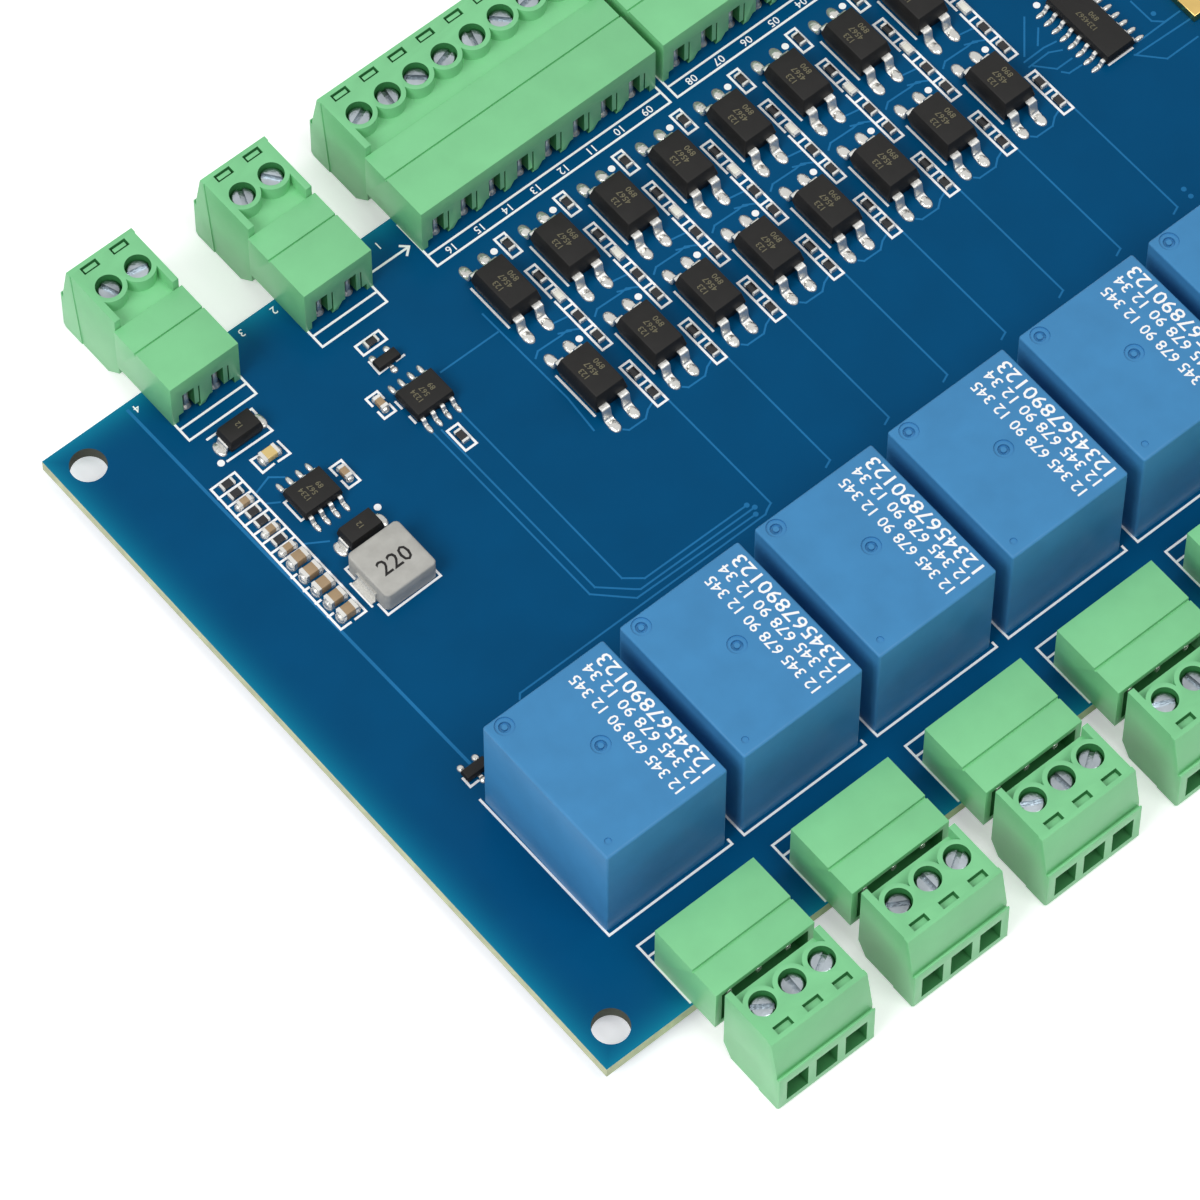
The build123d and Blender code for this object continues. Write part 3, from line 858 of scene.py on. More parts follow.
class BOARD_OT_screws(bpy.types.Operator):
    """Builds the slotted clamping screws"""

    bl_idname = "board.screws"
    bl_label = "Clamping screws"

    def execute(self, context):
        sizes = context.scene.board_sizes
        bm = bmesh.new()
        round_bar(bm, Matrix.Identity(4), sizes.screw_diameter, SCREW_LENGTH * MM, SCREW_SIDES)
        soften(bm, SCREW_EDGE * MM, 3)
        slot = bmesh.new()
        half, reach = SCREW_SLOT_WIDTH / 2 * MM, sizes.screw_diameter
        box(
            slot, (-half, -reach, (SCREW_LENGTH - SCREW_SLOT_DEPTH) * MM),
            (half, reach, (SCREW_LENGTH + 1) * MM),
        )
        mould = cut_out(bm, slot)
        places = []
        for name in PLUGS:
            place, poles = terminal_seat(name)
            for i, x in enumerate(spread(poles, sizes.pole_pitch)):
                stand = Vector((x, -SCREW_LINE * MM, (SCREW_TOP - SCREW_LENGTH) * MM))
                turn = radians(SCREW_TURN + SCREW_TURN_STEP * (i + len(places)))
                turned = Matrix.Translation(stand) @ Matrix.Rotation(turn, 4, "Z")
                places.append(place @ turned)
        heads = copies(mould, places)
        piece("screw_heads", heads, zinc_plated_steel(), ["terminal_screws"])
        return {"FINISHED"}


# Small parts, which take their places from the CAD nodes

# Points this near in height, in metres, count as level
LEVEL = 0.01 * MM


def separate(bm):
    """The vertices of a shape, one list for every separate solid, always in the same order."""
    left = set(bm.verts)
    found = []
    for first in bm.verts:
        if first not in left:
            continue
        left.remove(first)
        queue, group = [first], []
        while queue:
            vert = queue.pop()
            group.append(vert)
            for edge in vert.link_edges:
                other = edge.other_vert(vert)
                if other in left:
                    left.remove(other)
                    queue.append(other)
        found.append(group)
    return found


def islands(node):
    """The corner points of every separate solid in a CAD node."""
    bm = cad_shape(node)
    found = [[vert.co.copy() for vert in group] for group in separate(bm)]
    bm.free()
    return found


def lead_seat(points, bodies):
    """Where a lead leaves its body, with -Y outwards, and its reach and height. Straight leads point
    away from the nearest body."""
    low, high = box_of(points)
    feet = [p for p in points if p.z < low.z + LEVEL]
    tops = [p for p in points if p.z > high.z - LEVEL]
    foot, top = sum(feet, Vector()) / len(feet), sum(tops, Vector()) / len(tops)
    out = Vector((foot.x - top.x, foot.y - top.y, 0))
    if out.length < LEVEL:
        middle = (low + high) / 2
        out = middle - min(bodies, key=lambda body: (body - middle).length)
        out[1 - longer_way(low, high)] = 0
    along = 0 if abs(out.x) > abs(out.y) else 1
    out = Vector((1, 0, 0) if along == 0 else (0, 1, 0)) * (1 if out[along] > 0 else -1)
    reach = (high - low)[along]
    root = (low + high) / 2 - out * reach / 2
    root.z = BOARD_HIGH.z
    turn = Matrix.Rotation(Vector((0, -1, 0)).rotation_difference(out).to_euler().z, 4, "Z")
    if out.y > 0.5:
        turn = Matrix.Rotation(pi, 4, "Z")
    return Matrix.Translation(root) @ turn, reach, high.z - BOARD_HIGH.z


# Bent leads, in millimetres, with the places of their shoulder and heel as shares of their reach

LEAD_THICKNESS, LEAD_ROOT, LEAD_BEND, LEAD_EDGE = 0.24, 0.3, 0.3, 0.05
LEAD_SHOULDER, LEAD_HEEL = 0.36, 0.5
# The bend of a low lead is at most this share of its height
LOW_LEAD_BEND = 0.3


def bent_lead(reach, height, width):
    """A gull-wing lead that starts at y = 0 and reaches to -Y, with rounded bends."""
    thickness = LEAD_THICKNESS * MM
    height -= thickness / 2
    line = [
        (LEAD_ROOT * MM, height), (-LEAD_SHOULDER * reach, height),
        (-LEAD_HEEL * reach, thickness), (-reach, thickness / 2),
    ]
    bm = bmesh.new()
    verts = [bm.verts.new((-width / 2, y, z)) for y, z in line]
    for pair in zip(verts, verts[1:]):
        bm.edges.new(pair)
    bmesh.ops.bevel(
        bm, geom=verts[1:-1], offset=min(LEAD_BEND * MM, LOW_LEAD_BEND * height),
        offset_type="OFFSET", segments=4, profile=0.5, affect="VERTICES", material=-1,
    )
    made = bmesh.ops.extrude_edge_only(bm, edges=bm.edges[:])["geom"]
    grown = [v for v in made if isinstance(v, bmesh.types.BMVert)]
    bmesh.ops.translate(bm, verts=grown, vec=(width, 0, 0))
    put_in_order(bm)
    bmesh.ops.recalc_face_normals(bm, faces=bm.faces[:])
    bmesh.ops.solidify(bm, geom=bm.faces[:], thickness=thickness)
    put_in_order(bm)
    bmesh.ops.recalc_face_normals(bm, faces=bm.faces[:])
    soften(bm, LEAD_EDGE * MM, 1)
    return bm


# The ball is cut this far below its middle, so that its widest ring stays
DOME_CUT = -0.001


def dome():
    """Half a ball of radius 1 on a flat foot."""
    bm = bmesh.new()
    bmesh.ops.create_uvsphere(bm, u_segments=20, v_segments=10, radius=1.0)
    bmesh.ops.bisect_plane(
        bm, geom=bm.verts[:] + bm.edges[:] + bm.faces[:], plane_co=(0, 0, DOME_CUT),
        plane_no=(0, 0, -1), clear_outer=True,
    )
    put_in_order(bm)
    bmesh.ops.holes_fill(bm, edges=[e for e in bm.edges if e.is_boundary])
    return bm


# CAD node, and in millimetres the leads' width and the half width and half length of their solder
LEADS = (
    ("coupler_leads", 1.1, 0.62, 0.95), ("chip_leads", 0.5, 0.3, 0.7),
    ("transistor_leads", 0.42, 0.4, 0.45), ("diode_terminals", 1.6, 1.0, 0.6),
)

# Solder, in millimetres: a drop's height, how far a fillet reaches out and past a part's sides,
# and the share of the part's height that it climbs
DROP_HEIGHT = 0.3
FILLET_REACH, FILLET_SPILL, FILLET_CLIMB = 0.42, 0.08, 0.7
FILLETED = ("chip_capacitors", "bulk_capacitors", "power_led")

# Cones of solder, in millimetres: foot and top radius, and height
TAIL_CONE = (0.45, 0.95, 0.9)
PIN_COLLAR = (0.7, 0.4, 0.6)

# How much narrower the header pins look than in the CAD model, and their edge in millimetres
PIN_NARROWING, PIN_EDGE = 0.78, 0.1


def end_fillets(node):
    """Places and half sizes of the solder at both ends of every small part in a node."""
    places = []
    for points in islands(node):
        low, high = box_of(points)
        along = longer_way(low, high)
        step = Vector((1, 0, 0) if along == 0 else (0, 1, 0))
        middle = (low + high) / 2
        middle.z = BOARD_HIGH.z
        wide = (high - low)[1 - along] / 2 + FILLET_SPILL * MM
        sizes = (FILLET_REACH * MM, wide) if along == 0 else (wide, FILLET_REACH * MM)
        size = Matrix.Diagonal((*sizes, FILLET_CLIMB * (high.z - low.z), 1))
        for side in (-1, 1):
            place = Matrix.Translation(middle + step * side * (high - low)[along] / 2)
            places.append(place @ size)
    return places


def narrow_pins():
    """The header pins, narrowed about their own middles."""
    pins = cad_shape("header_pins")
    for group in separate(pins):
        low, high = box_of([v.co for v in group])
        middle = (low.x + high.x) / 2
        for v in group:
            v.co.x = middle + (v.co.x - middle) * PIN_NARROWING
    soften(pins, PIN_EDGE * MM)
    return pins


def solder_cone(bm, place, foot, top, height):
    """A cone of solder about a middle in metres, with its radii and height in millimetres."""
    bmesh.ops.create_cone(
        bm, cap_ends=True, segments=20, radius1=foot * MM, radius2=top * MM, depth=height * MM,
        matrix=Matrix.Translation(place),
    )


def pin_solder():
    """Cones below the board round all tails, and collars above it round the header pins."""
    bm = bmesh.new()
    for node in ("relay_pin_tails", "header_pins"):
        for points in islands(node):
            foot = min(p.z for p in points)
            low, high = box_of([p for p in points if p.z < foot + LEVEL])
            x, y = ((low + high) / 2).xy
            solder_cone(bm, (x, y, BOARD_LOW.z - TAIL_CONE[2] / 2 * MM), *TAIL_CONE)
            if node == "header_pins":
                solder_cone(bm, (x, y, BOARD_HIGH.z + PIN_COLLAR[2] / 2 * MM), *PIN_COLLAR)
    return bm


class BOARD_OT_leads(bpy.types.Operator):
    """Builds the bent leads and their solder"""

    bl_idname = "board.leads"
    bl_label = "Leads"

    def execute(self, context):
        metal = tinned_bronze()
        drops = []
        bodies = [sum(box_of(points), Vector()) / 2 for points in islands("small_transistors")]
        for node, width, half_width, half_length in LEADS:
            seats = [lead_seat(points, bodies) for points in islands(node)]
            mould = bent_lead(seats[0][1], seats[0][2], width * MM)
            bm = copies(mould, [place for place, _, _ in seats])
            piece("bent_" + node, bm, metal, [node])
            size = Matrix.Diagonal((half_width * MM, half_length * MM, DROP_HEIGHT * MM, 1))
            for place, reach, _ in seats:
                drops.append(place @ Matrix.Translation((0, -reach, 0)) @ size)
        for node in FILLETED:
            drops += end_fillets(node)
        molten = solder()
        piece("solder_drops", copies(dome(), drops), molten)
        piece("header_pins_tinned", narrow_pins(), metal, ["header_pins"])
        piece("solder_cones", pin_solder(), molten)
        return {"FINISHED"}


# How far a tinned cap stands out of its part, and its edge, in millimetres
CAP_THICKNESS, CAP_EDGE = 0.03, 0.05


def end_caps(node, share):
    """Tinned caps round both ends of every small part in a node, each a share of its length."""
    bm = bmesh.new()
    for points in islands(node):
        low, high = box_of(points)
        along = longer_way(low, high)
        cap = share * (high - low)[along]
        grow = Vector((CAP_THICKNESS, CAP_THICKNESS, CAP_THICKNESS)) * MM
        for side in (0, 1):
            start, end = low - grow, high + grow
            start.z = BOARD_HIGH.z
            if side == 0:
                end[along] = low[along] + cap
            else:
                start[along] = high[along] - cap
            box(bm, start, end)
    soften(bm, CAP_EDGE * MM, 1)
    return bm


# CAD node, material, slot and edge radius in millimetres
PARTS = (
    ("back_row_couplers", black_epoxy, "chip_plastic", 0.1),
    ("front_row_couplers", black_epoxy, "chip_plastic", 0.1),
    ("driver_chip", black_epoxy, "chip_plastic", 0.08),
    ("bus_chip", black_epoxy, "chip_plastic", 0.08),
    ("regulator_chip", black_epoxy, "chip_plastic", 0.08),
    ("small_transistors", black_epoxy, "chip_plastic", 0.06),
    ("power_diodes", black_epoxy, "chip_plastic", 0.08),
    ("controller_chip", black_epoxy, "chip_plastic", 0.08),
    ("power_inductor", grey_epoxy, "inductor_core", 0.22),
    ("chip_resistors", resistor_glass, "resistor_film", 0.05),
    ("chip_capacitors", barium_ceramic, "capacitor_ceramic", 0.06),
    ("bulk_capacitors", barium_ceramic, "capacitor_ceramic", 0.1),
    ("input_leds", led_resin, "led_resin", 0.08),
    ("power_led", amber_resin, "amber_resin", 0.1),
    ("crystal", gold_plate, "crystal_lid", 0.1),
    ("relay_bases", relay_nylon, "relay_base_plastic", 0.1),
)
# CAD node, and the share of a part's length that each of its end caps covers
CAPPED = (
    ("chip_resistors", 0.18), ("chip_capacitors", 0.24), ("bulk_capacitors", 0.22),
    ("input_leds", 0.22), ("power_led", 0.2),
)
TINNED = ("inductor_terminals", "relay_pin_tails", "wire_clamps")


class BOARD_OT_parts(bpy.types.Operator):
    """Gives the chips, couplers and small parts soft edges, caps and their finishes"""

    bl_idname = "board.parts"
    bl_label = "Chips and small parts"

    def execute(self, context):
        finishes = {finish: finish() for finish in dict.fromkeys(row[1] for row in PARTS)}
        for node, finish, slot, edge in PARTS:
            bm = cad_shape(node)
            soften(bm, edge * MM)
            piece("dressed_" + node, bm, finishes[finish], [node])
        metal = tinned_bronze()
        for node, share in CAPPED:
            piece("caps_" + node, end_caps(node, share), metal)
        for node in TINNED:
            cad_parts[node].material_slots[0].material = metal
        return {"FINISHED"}


# Print and tracks: lines of (x, y) points in millimetres from the board's front left corner

COUPLER_PITCH = 8.0
COUPLER_COUNT = 8
CHANNEL_PITCH = 17.6
CHANNEL_COUNT = 8


def closed(x0, y0, x1, y1):
    """The outline of a rectangle."""
    return [(x0, y0), (x1, y0), (x1, y1), (x0, y1), (x0, y0)]


def shifted(points, dx):
    """The same line, further right."""
    return [(x + dx, y) for x, y in points]


COUPLER_PRINT = (
    closed(52.80, 78.5, 54.12, 81.45),
    [(52.80, 72.17), (52.80, 76.4), (54.1, 76.4), (54.1, 63.85), (52.80, 63.85), (52.80, 71.48)],
    [(52.80, 73.3), (54.1, 73.3)], [(52.80, 70.2), (54.1, 70.2)], [(52.80, 66.85), (54.1, 66.85)],
    closed(52.83, 54.97, 54.15, 61.08), [(52.83, 58.1), (54.15, 58.1)],
    [(47.12, 72.2), (47.12, 78.3)], [(47.12, 58.3), (47.12, 64.45)],
)
SUPPLY_PRINT = (
    [(12.4, 55.4), (11.15, 55.4), (11.25, 76.75), (14.4, 76.78), (14.45, 55.42), (13.06, 55.4)],
    [(16.5, 70.7), (16.05, 70.7), (16.05, 67.95), (16.5, 67.95)],
    [(22.2, 70.9), (23.7, 70.9), (23.7, 67.8), (22.2, 67.8), (22.2, 68.9)],
    [(22.2, 69.8), (22.2, 70.9)], [(32.4, 72.7), (32.4, 71.75)], [(32.4, 70.4), (32.4, 69.5)],
    [(33.36, 78.21), (33.28, 76.47), (34.38, 76.51)], [(35.64, 76.55), (36.63, 76.57)],
    closed(33.4, 79.2, 36.5, 80.6), closed(34.25, 63.57, 35.7, 66.6),
    [(30.25, 73.9), (30.25, 74.95), (31.75, 74.95), (31.75, 73.9)],
    [(30.25, 72.9), (30.25, 71.9), (31.75, 71.9), (31.75, 72.9)],
    [(14.7, 78.3), (20.5, 78.22), (20.44, 78.97)], [(14.7, 81.66), (20.5, 81.6), (20.5, 80.9)],
    [(17.59, 76.78), (16.56, 76.85), (16.59, 74.89), (18.08, 74.98)],
    [(18.72, 74.94), (20.2, 74.9), (20.13, 76.8)],
    [(15.93, 55.2), (15.93, 53.65), (22.91, 53.77), (22.91, 55.2)],
    [(15.27, 55.48), (15.27, 58.88)], [(15.95, 59.14), (15.95, 60.6), (22.9, 60.6)],
    [(116.67, 56.6), (119.93, 56.6)], [(116.67, 66.5), (119.93, 66.5)],
    [(40.34, 86.55), (45.17, 86.52)], [(44.74, 87.17), (45.42, 86.53), (44.62, 85.84)],
)
# Lines across the strip of resistors: where each begins and ends, and their places
STRIP_ENDS = (11.2, 14.4)
STRIP_DIVIDERS = [75.40 - 1.42 * i for i in range(8)]
# Short marks on both sides of the larger capacitors: where they begin, their length and places
BULK_SIDES, BULK_MARK = (11.1, 13.85), 0.6
BULK_DIVIDERS = (63.31, 61.30, 59.38, 57.37)
DOTS = ((14.01, 78.54), (23.06, 64.16), (115.78, 67.19))
COUPLER_DOTS = ((51.85, 80.35), (51.85, 66.45))

TRACKS = (
    [(33.05, 67.78), (33.18, 42.37), (35.85, 39.68), (36.6, 38.95), (52.26, 38.7)],
    [(33.92, 67.06), (34.10, 42.67), (37.08, 39.88), (37.55, 39.5), (52.72, 39.4)],
    [(53.6, 38.4), (53.0, 38.05), (20.4, 38.05), (19.95, 37.55)],
    [(36.80, 67.31), (36.89, 41.72), (38.69, 40.21), (52.24, 40.11)],
    [(38.27, 72.53), (45.88, 72.49)], [(46.07, 75.18), (46.34, 61.69), (45.94, 57.02)],
    [(119.66, 55.72), (128.48, 55.38)], [(119.56, 55.80), (121.91, 53.23), (126.23, 53.23)],
    [(120.98, 56.81), (126.92, 56.88)],
    [(123.79, 61.11), (123.82, 57.86), (124.85, 56.89), (126.92, 56.88)],
    [(110.49, 63.17), (113.75, 66.87)], [(112.49, 63.30), (113.97, 64.88)],
    [(110.37, 61.68), (112.08, 59.74), (114.13, 59.73)],
    [(112.22, 59.13), (112.71, 58.52), (114.36, 58.44)],
    [(109.97, 61.81), (112.77, 61.87), (114.05, 61.20)],
    [(109.98, 62.60), (112.78, 62.66), (114.28, 62.41)],
    [(14.2, 73.35), (16.72, 74.11), (17.95, 73.08)], [(14.3, 72.0), (15.74, 71.05)],
    [(14.6, 65.6), (16.72, 64.23)],
)
COUPLER_TRACKS = (
    [(54.19, 54.98), (54.29, 38.71), (53.43, 38.34)],
    [(48.34, 55.13), (48.77, 54.7), (50.96, 54.66), (51.84, 55.35), (52.6, 55.65)],
    [(46.88, 67.54), (47.6, 68.05), (50.67, 67.95), (51.54, 68.04), (52.6, 67.4)],
    [(50.6, 68.3), (51.82, 67.75)], [(51.1, 69.6), (52.7, 69.3)],
)
EDGE_TRACK = [(10.55, 89.6), (10.85, 66.0), (11.15, 50.0), (11.4, 35.2)]
# The print round the headers on the back edge: its line at the board's edge, the one nearest to
# the relays and the one between, and where each header's print begins and ends
BACK_EDGE, BACK_FRONT, BACK_MIDDLE = 89.3, 82.75, 84.38
BACK_HEADERS = ((13.2, 22.0), (30.8, 39.4), (46.2, 77.97), (78.93, 110.75))
CHANNEL_PRINT = (
    [(11.1, 0.4), (11.1, 8.5), (24.0, 8.5), (24.0, 0.4)], [(11.1, 6.9), (24.0, 6.9)],
    [(9.55, 31.17), (9.7, 11.2), (25.72, 11.2), (25.72, 11.8)],
    [(10.74, 33.0), (9.75, 32.97), (9.77, 34.18)],
)
# Lines that cross lie on one of several levels, a step apart, so that none share a face
PRINT_HEIGHT, PRINT_STEP, PRINT_LEVELS = 0.02, 0.003, 5
DOT_DIAMETER, DOT_HEIGHT = 0.8, 0.03
TRACK_FOOT, TRACK_HEIGHT, TRACK_STEP, TRACK_LEVELS = -0.01, 0.008, 0.002, 3
TRACK_WIDTH, EDGE_TRACK_WIDTH, EDGE_TRACK_HEIGHT = 0.21, 0.35, 0.006
VIA_DIAMETER, VIA_HEIGHT = 0.6, 0.025
VIAS = (
    (52.24, 40.11), (52.72, 39.40), (52.26, 38.70), (112.28, 39.93), (112.26, 38.81),
    (124.59, 58.43),
)


class BOARD_OT_print(bpy.types.Operator):
    """Prints the board's outlines and dots"""

    bl_idname = "board.print"
    bl_label = "Print"

    def execute(self, context):
        width = context.scene.board_sizes.print_width / MM
        bm = bmesh.new()
        lines = list(SUPPLY_PRINT)
        lines += [[(x, y) for x in STRIP_ENDS] for y in STRIP_DIVIDERS]
        lines += [[(x, y), (x + BULK_MARK, y)] for y in BULK_DIVIDERS for x in BULK_SIDES]
        for i in range(COUPLER_COUNT):
            lines += [shifted(line, i * COUPLER_PITCH) for line in COUPLER_PRINT]
        for i in range(CHANNEL_COUNT):
            lines += [shifted(line, i * CHANNEL_PITCH) for line in CHANNEL_PRINT]
        for left, right in BACK_HEADERS:
            lines += [
                [
                    (left, BACK_EDGE), (left, BACK_FRONT), (right, BACK_FRONT), (right, BACK_EDGE),
                ],
                [(left, BACK_MIDDLE), (right, BACK_MIDDLE)],
            ]
        for i, line in enumerate(lines):
            stroke(bm, line, width, 0.0, PRINT_HEIGHT + PRINT_STEP * (i % PRINT_LEVELS))
        dots = list(DOTS)
        for i in range(COUPLER_COUNT):
            dots += shifted(COUPLER_DOTS, i * COUPLER_PITCH)
        for x, y in dots:
            round_bar(bm, seat(x, y), DOT_DIAMETER * MM, DOT_HEIGHT * MM, 20)
        piece("printed_lines", bm, white_ink())
        return {"FINISHED"}


class BOARD_OT_tracks(bpy.types.Operator):
    """Lays the masked tracks and their vias"""

    bl_idname = "board.tracks"
    bl_label = "Tracks"

    def execute(self, context):
        bm = bmesh.new()
        lines = list(TRACKS)
        for i in range(COUPLER_COUNT):
            lines += [shifted(line, i * COUPLER_PITCH) for line in COUPLER_TRACKS]
        for i, line in enumerate(lines):
            height = TRACK_HEIGHT + TRACK_STEP * (i % TRACK_LEVELS)
            stroke(bm, line, TRACK_WIDTH, TRACK_FOOT, height)
        stroke(bm, EDGE_TRACK, EDGE_TRACK_WIDTH, TRACK_FOOT, EDGE_TRACK_HEIGHT)
        for x, y in VIAS:
            round_bar(bm, seat(x, y), VIA_DIAMETER * MM, VIA_HEIGHT * MM, 20)
        piece("masked_tracks", bm, masked_copper())
        return {"FINISHED"}


# Numbers: the font's size for digits of height 1, the share of that height by which their strokes
# grow, and the thickness of their ink in millimetres

FONT_SIZE, STROKE_GAIN, NUMBER_INK = 1.4, 0.008, 0.01


def numbers(marks, name, material):
    """Flat numbers in one mesh. Each mark is its text, the place of its middle, its height, its
    turn in degrees, its rise above the board and the span that it is drawn out to, or 0."""
    bm = bmesh.new()
    for text, x, y, size, turn, rise, span in marks:
        curve = bpy.data.curves.new("number", "FONT")
        curve.body = text
        curve.size = size * MM * FONT_SIZE
        curve.align_x, curve.align_y = "CENTER", "CENTER"
        curve.offset = STROKE_GAIN * size * MM
        curve.extrude = NUMBER_INK * MM
        curve.resolution_u = 2
        shown = bpy.data.objects.new("number", curve)
        bpy.context.scene.collection.objects.link(shown)
        mesh = bpy.data.meshes.new_from_object(
            shown.evaluated_get(bpy.context.evaluated_depsgraph_get())
        )
        if span:
            wide = max(v.co.x for v in mesh.vertices) - min(v.co.x for v in mesh.vertices)
            mesh.transform(Matrix.Scale(span * MM / wide, 4, (1, 0, 0)))
        mesh.transform(seat(x, y, rise + NUMBER_INK, turn))
        bm.from_mesh(mesh)
        bpy.data.objects.remove(shown)
        bpy.data.curves.remove(curve)
        bpy.data.meshes.remove(mesh)
    return piece(name, bm, material)


# Left end of a row's header, and the row's first number, with the row's place and its height
INPUT_ROWS = ((46.15, 16), (78.95, 8))
INPUT_ROW_LENGTH, INPUT_ROW_BACK, BACK_NUMBER_HEIGHT = 8, 83.56, 0.95
BACK_PLACES = ((11.4, 89.3), (25.4, 89.5), (29.7, 89.5), (43.0, 88.7))
# Middle of the first relay's terminal numbers, and their height
POLE_NUMBERS, POLE_NUMBER_HEIGHT = (17.55, 7.7), 1.0
# The first relay's right side, the middle of its length and its height
RELAY_RIGHT, RELAY_MIDDLE, RELAY_TOP = 25.4, 21.05, 15.4
# Text, height, place left of the cover's right side and length, in millimetres
RELAY_LINES = (
    ("12 345 678 90 12 345", 1.25, 5.1, 16.6), ("12 345 678 90 12 34", 1.25, 3.2, 16.9),
    ("1234567890123", 1.6, 1.4, 16.7),
)
INDUCTOR_NUMBER = ("220", 19.42, 56.74, 1.9, 0, 3.0, 0)
# CAD node, lines of text, their height and pitch
CHIP_MARKS = (
    ("back_row_couplers", ("123", "4567", "890"), 0.68, 1.0),
    ("front_row_couplers", ("123", "4567", "890"), 0.68, 1.0),
    ("regulator_chip", ("1234", "567", "89"), 0.62, 0.95),
    ("bus_chip", ("1234", "567", "89"), 0.62, 0.95),
    ("power_diodes", ("12",), 0.62, 0.95), ("driver_chip", ("1234567", "890"), 0.62, 0.95),
)


def board_marks(pitch):
    """Marks of the numbers on the board, for a pole pitch in millimetres."""
    marks = []
    for left, last in INPUT_ROWS:
        for i in range(INPUT_ROW_LENGTH):
            x = left + POLE_INSET + pitch * i
            text = f"{last - i:02d}"
            marks.append((text, x, INPUT_ROW_BACK, BACK_NUMBER_HEIGHT, 180, 0.0, 0))
    for i, (x, y) in enumerate(BACK_PLACES):
        text = str(len(BACK_PLACES) - i)
        marks.append((text, x, y, BACK_NUMBER_HEIGHT, 180, 0.0, 0))
    middle, y = POLE_NUMBERS
    for i in range(CHANNEL_COUNT):
        for pole, across in enumerate(spread(3, pitch), start=1):
            x = middle + CHANNEL_PITCH * i + across
            marks.append((str(pole), x, y, POLE_NUMBER_HEIGHT, 0, 0.0, 0))
    return marks


def relay_marks():
    """Marks of the lines of numbers on the relays."""
    marks = []
    for i in range(CHANNEL_COUNT):
        for text, size, back, span in RELAY_LINES:
            x = RELAY_RIGHT - back + CHANNEL_PITCH * i
            marks.append((text, x, RELAY_MIDDLE, size, 90, RELAY_TOP, span))
    return marks


def chip_marks():
    """Marks of the numbers on the chips and couplers."""
    marks = []
    for node, lines, size, pitch in CHIP_MARKS:
        for points in islands(node):
            x, y, rise = centre_of(points)
            for text, across in zip(lines, spread(len(lines), pitch)):
                marks.append((text, x + across, y, size, 90, rise, 0))
    return marks


class BOARD_OT_numbers(bpy.types.Operator):
    """Prints plain numbers on the board, the relays, the inductor and the chips"""

    bl_idname = "board.numbers"
    bl_label = "Numbers"

    def execute(self, context):
        ink = white_ink()
        pitch = context.scene.board_sizes.pole_pitch / MM
        numbers(board_marks(pitch), "board_numbers", ink)
        numbers(relay_marks(), "relay_numbers", ink)
        numbers([INDUCTOR_NUMBER], "inductor_number", black_epoxy())
        numbers(chip_marks(), "chip_numbers", laser_mark())
        return {"FINISHED"}


# Stage, light and camera

CAMERA_PLACE = (-295.3, -303.2, 690.2)
CAMERA_AZIMUTH, CAMERA_ELEVATION = -39.87, 60.49
CAMERA_LENS, SENSOR_WIDTH = 233.3, 36.0
CAMERA_CLIP = (0.05, 10.0)
PAPER, PAPER_ROUGHNESS = "#f4f4f4", 0.9
PAPER_LIFT = 0.4
AIR_AT_HORIZON, AIR_OVERHEAD = 0.05, 0.62
# Name, azimuth and elevation in degrees, distance and size in metres, and power in watts
LAMPS = (("key_softbox", -85, 46, 1.6, 0.8, 12), ("top_softbox", 10, 66, 1.6, 0.5, 6))
# How far the floor lies below the part, in millimetres, and half its side, in metres
FLOOR_GAP, FLOOR_REACH = 0.05, 3.0


def lamp(name, azimuth, elevation, distance, size, power):
    """A square soft light that looks at the origin from an azimuth and elevation."""
    light = bpy.data.lights.new(name, "AREA")
    light.size = size
    light.energy = power
    made = bpy.data.objects.new(name, light)
    a, e = radians(azimuth), radians(elevation)
    made.location = Vector((sin(a) * cos(e), -cos(a) * cos(e), sin(e))) * distance
    made.rotation_euler = made.location.to_track_quat("Z", "Y").to_euler()
    bpy.context.scene.collection.objects.link(made)


def seen_or_mirrored(tree):
    """A share that is 1 for what the camera sees, straight, in a mirror or through glass."""
    path = add_node(tree, "ShaderNodeLightPath")
    mirrored = add_node(
        tree, "ShaderNodeMath", {"operation": "MAXIMUM"},
        {0: path.outputs["Is Glossy Ray"], 1: path.outputs["Is Transmission Ray"]},
    )
    return add_node(
        tree, "ShaderNodeMath", {"operation": "MAXIMUM"},
        {0: path.outputs["Is Camera Ray"], 1: mirrored.outputs[0]},
    )


def studio_paper():
    """Matt white paper, lifted to white where it is seen, with its shadows; clear from below."""
    material = bpy.data.materials.new("matt_white_paper")
    material.use_nodes = True
    tree = material.node_tree
    paper = tree.nodes["Principled BSDF"]
    paper.inputs["Base Color"].default_value = linear(PAPER)
    paper.inputs["Roughness"].default_value = PAPER_ROUGHNESS
    white = add_node(tree, "ShaderNodeEmission", {"Color": (1, 1, 1, 1), "Strength": PAPER_LIFT})
    added = add_node(tree, "ShaderNodeAddShader", links={0: paper.outputs[0], 1: white.outputs[0]})
    shown = add_node(
        tree, "ShaderNodeMixShader",
        links={"Fac": seen_or_mirrored(tree).outputs[0], 1: paper.outputs[0], 2: added.outputs[0]},
    )
    side = add_node(tree, "ShaderNodeNewGeometry")
    clear = add_node(tree, "ShaderNodeBsdfTransparent")
    one_sided = add_node(
        tree, "ShaderNodeMixShader",
        links={"Fac": side.outputs["Backfacing"], 1: shown.outputs[0], 2: clear.outputs[0]},
    )
    tree.links.new(one_sided.outputs[0], tree.nodes["Material Output"].inputs["Surface"])
    return material


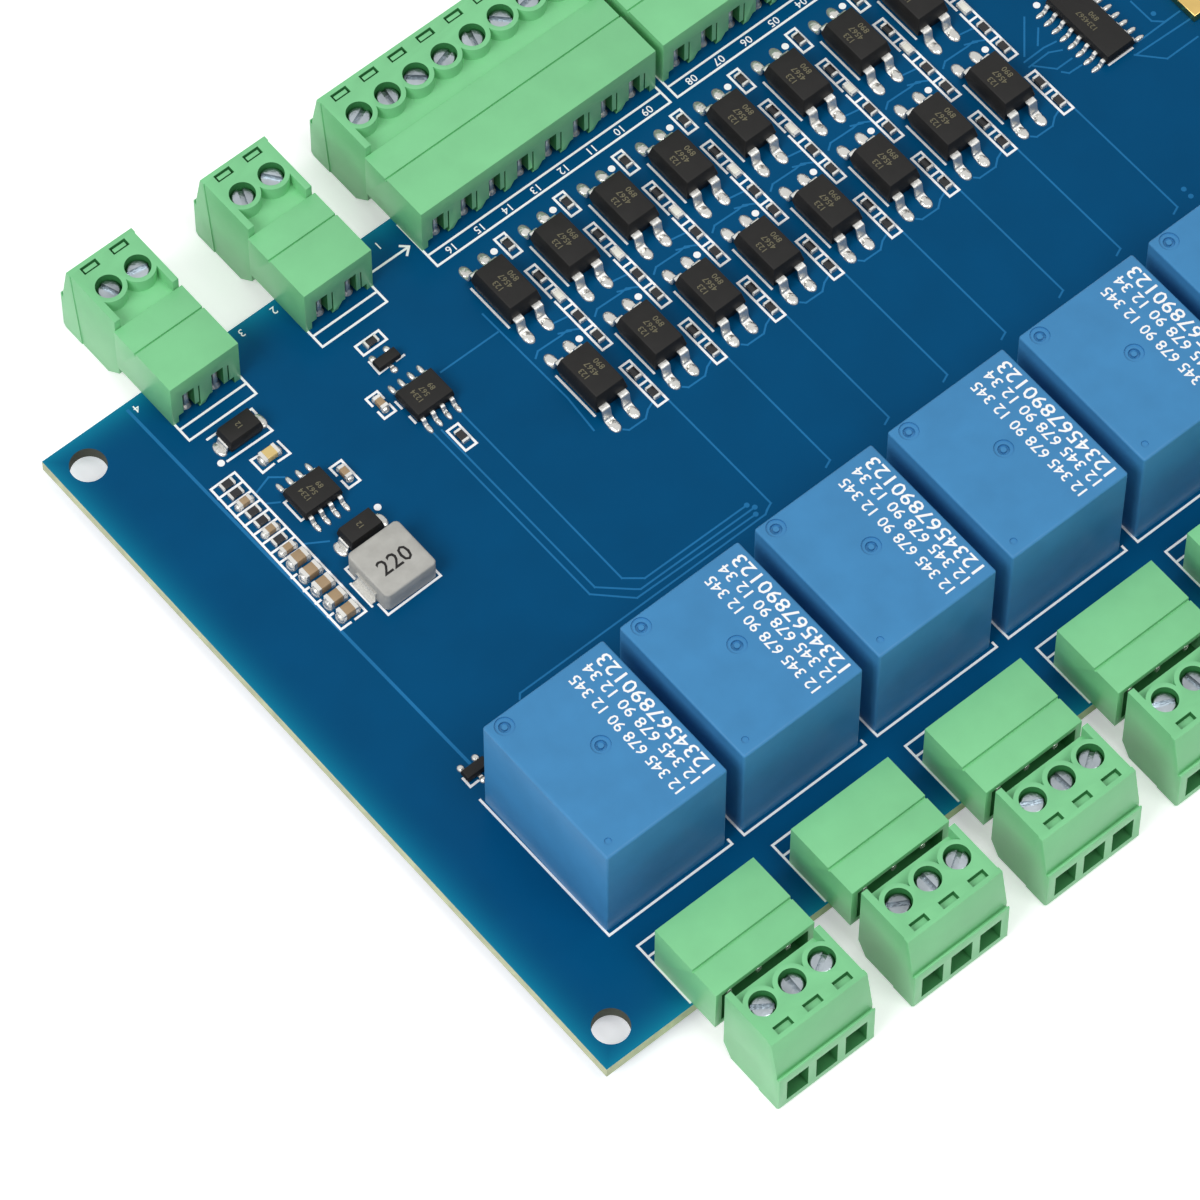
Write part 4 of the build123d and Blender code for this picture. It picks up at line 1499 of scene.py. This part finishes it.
def studio_air():
    """White air, brighter overhead, for the light on the object, and white where it is seen."""
    world = bpy.data.worlds.new("studio_air")
    world.use_nodes = True
    tree = world.node_tree
    lit = tree.nodes["Background"]
    lit.inputs["Color"].default_value = (1, 1, 1, 1)
    way = add_node(tree, "ShaderNodeTexCoord")
    axes = add_node(tree, "ShaderNodeSeparateXYZ", links={0: way.outputs["Generated"]})
    upward = add_node(
        tree, "ShaderNodeMapRange", {"To Min": AIR_AT_HORIZON, "To Max": AIR_OVERHEAD},
        {"Value": axes.outputs["Z"]},
    )
    tree.links.new(upward.outputs[0], lit.inputs["Strength"])
    shown = add_node(tree, "ShaderNodeBackground", {"Color": (1, 1, 1, 1), "Strength": 1.0})
    mixed = add_node(
        tree, "ShaderNodeMixShader",
        links={"Fac": seen_or_mirrored(tree).outputs[0], 1: lit.outputs[0], 2: shown.outputs[0]},
    )
    tree.links.new(mixed.outputs[0], tree.nodes["World Output"].inputs["Surface"])
    return world


class BOARD_OT_studio(bpy.types.Operator):
    """Sets the floor, the lights and the camera"""

    bl_idname = "board.studio"
    bl_label = "Studio"

    def execute(self, context):
        scene = context.scene
        bm = bmesh.new()
        level = Matrix.Translation((0, 0, CAD_LOW[2] - FLOOR_GAP * MM))
        bmesh.ops.create_grid(bm, x_segments=1, y_segments=1, size=FLOOR_REACH, matrix=level)
        floor = new_object("studio_floor", bm)
        floor.data.materials.append(studio_paper())
        for facts in LAMPS:
            lamp(*facts)
        scene.world = studio_air()
        camera = bpy.data.cameras.new("camera")
        camera.lens = CAMERA_LENS
        camera.sensor_width = SENSOR_WIDTH
        camera.clip_start, camera.clip_end = CAMERA_CLIP
        made = bpy.data.objects.new("camera", camera)
        made.location = Vector(CAMERA_PLACE) * MM
        made.rotation_euler = (radians(90 - CAMERA_ELEVATION), 0, radians(CAMERA_AZIMUTH))
        scene.collection.objects.link(made)
        scene.camera = made
        scene.view_settings.view_transform = "Standard"
        return {"FINISHED"}


STEPS = (
    "laminate", "tracks", "print", "numbers", "relays", "headers", "plugs", "screws", "parts",
    "leads", "studio",
)


class BOARD_PT_panel(bpy.types.Panel):
    """Lists the steps that build the board's looks"""

    bl_idname = "BOARD_PT_panel"
    bl_label = "Relay board"
    bl_space_type = "VIEW_3D"
    bl_region_type = "UI"
    bl_category = "Relay board"

    def draw(self, context):
        for name in BoardSizes.__annotations__:
            self.layout.prop(context.scene.board_sizes, name)
        for name in BoardColours.__annotations__:
            self.layout.prop(context.scene.board_colours, name)
        for step in STEPS:
            self.layout.operator("board." + step)


CLASSES = (
    BoardSizes, BoardColours, BOARD_OT_laminate, BOARD_OT_tracks, BOARD_OT_print, BOARD_OT_numbers,
    BOARD_OT_relays, BOARD_OT_headers, BOARD_OT_plugs, BOARD_OT_screws, BOARD_OT_parts,
    BOARD_OT_leads, BOARD_OT_studio, BOARD_PT_panel,
)


def register():
    """Registers the classes, the sizes and the colours."""
    for kind in CLASSES:
        bpy.utils.register_class(kind)
    bpy.types.Scene.board_sizes = PointerProperty(type=BoardSizes)
    bpy.types.Scene.board_colours = PointerProperty(type=BoardColours)


def unregister():
    """Takes the colours, the sizes and the classes away again."""
    del bpy.types.Scene.board_colours
    del bpy.types.Scene.board_sizes
    for kind in reversed(CLASSES):
        bpy.utils.unregister_class(kind)


def main():
    """Builds every piece."""
    register()
    for step in STEPS:
        getattr(bpy.ops.board, step)()


if __name__ == "__main__":
    main()
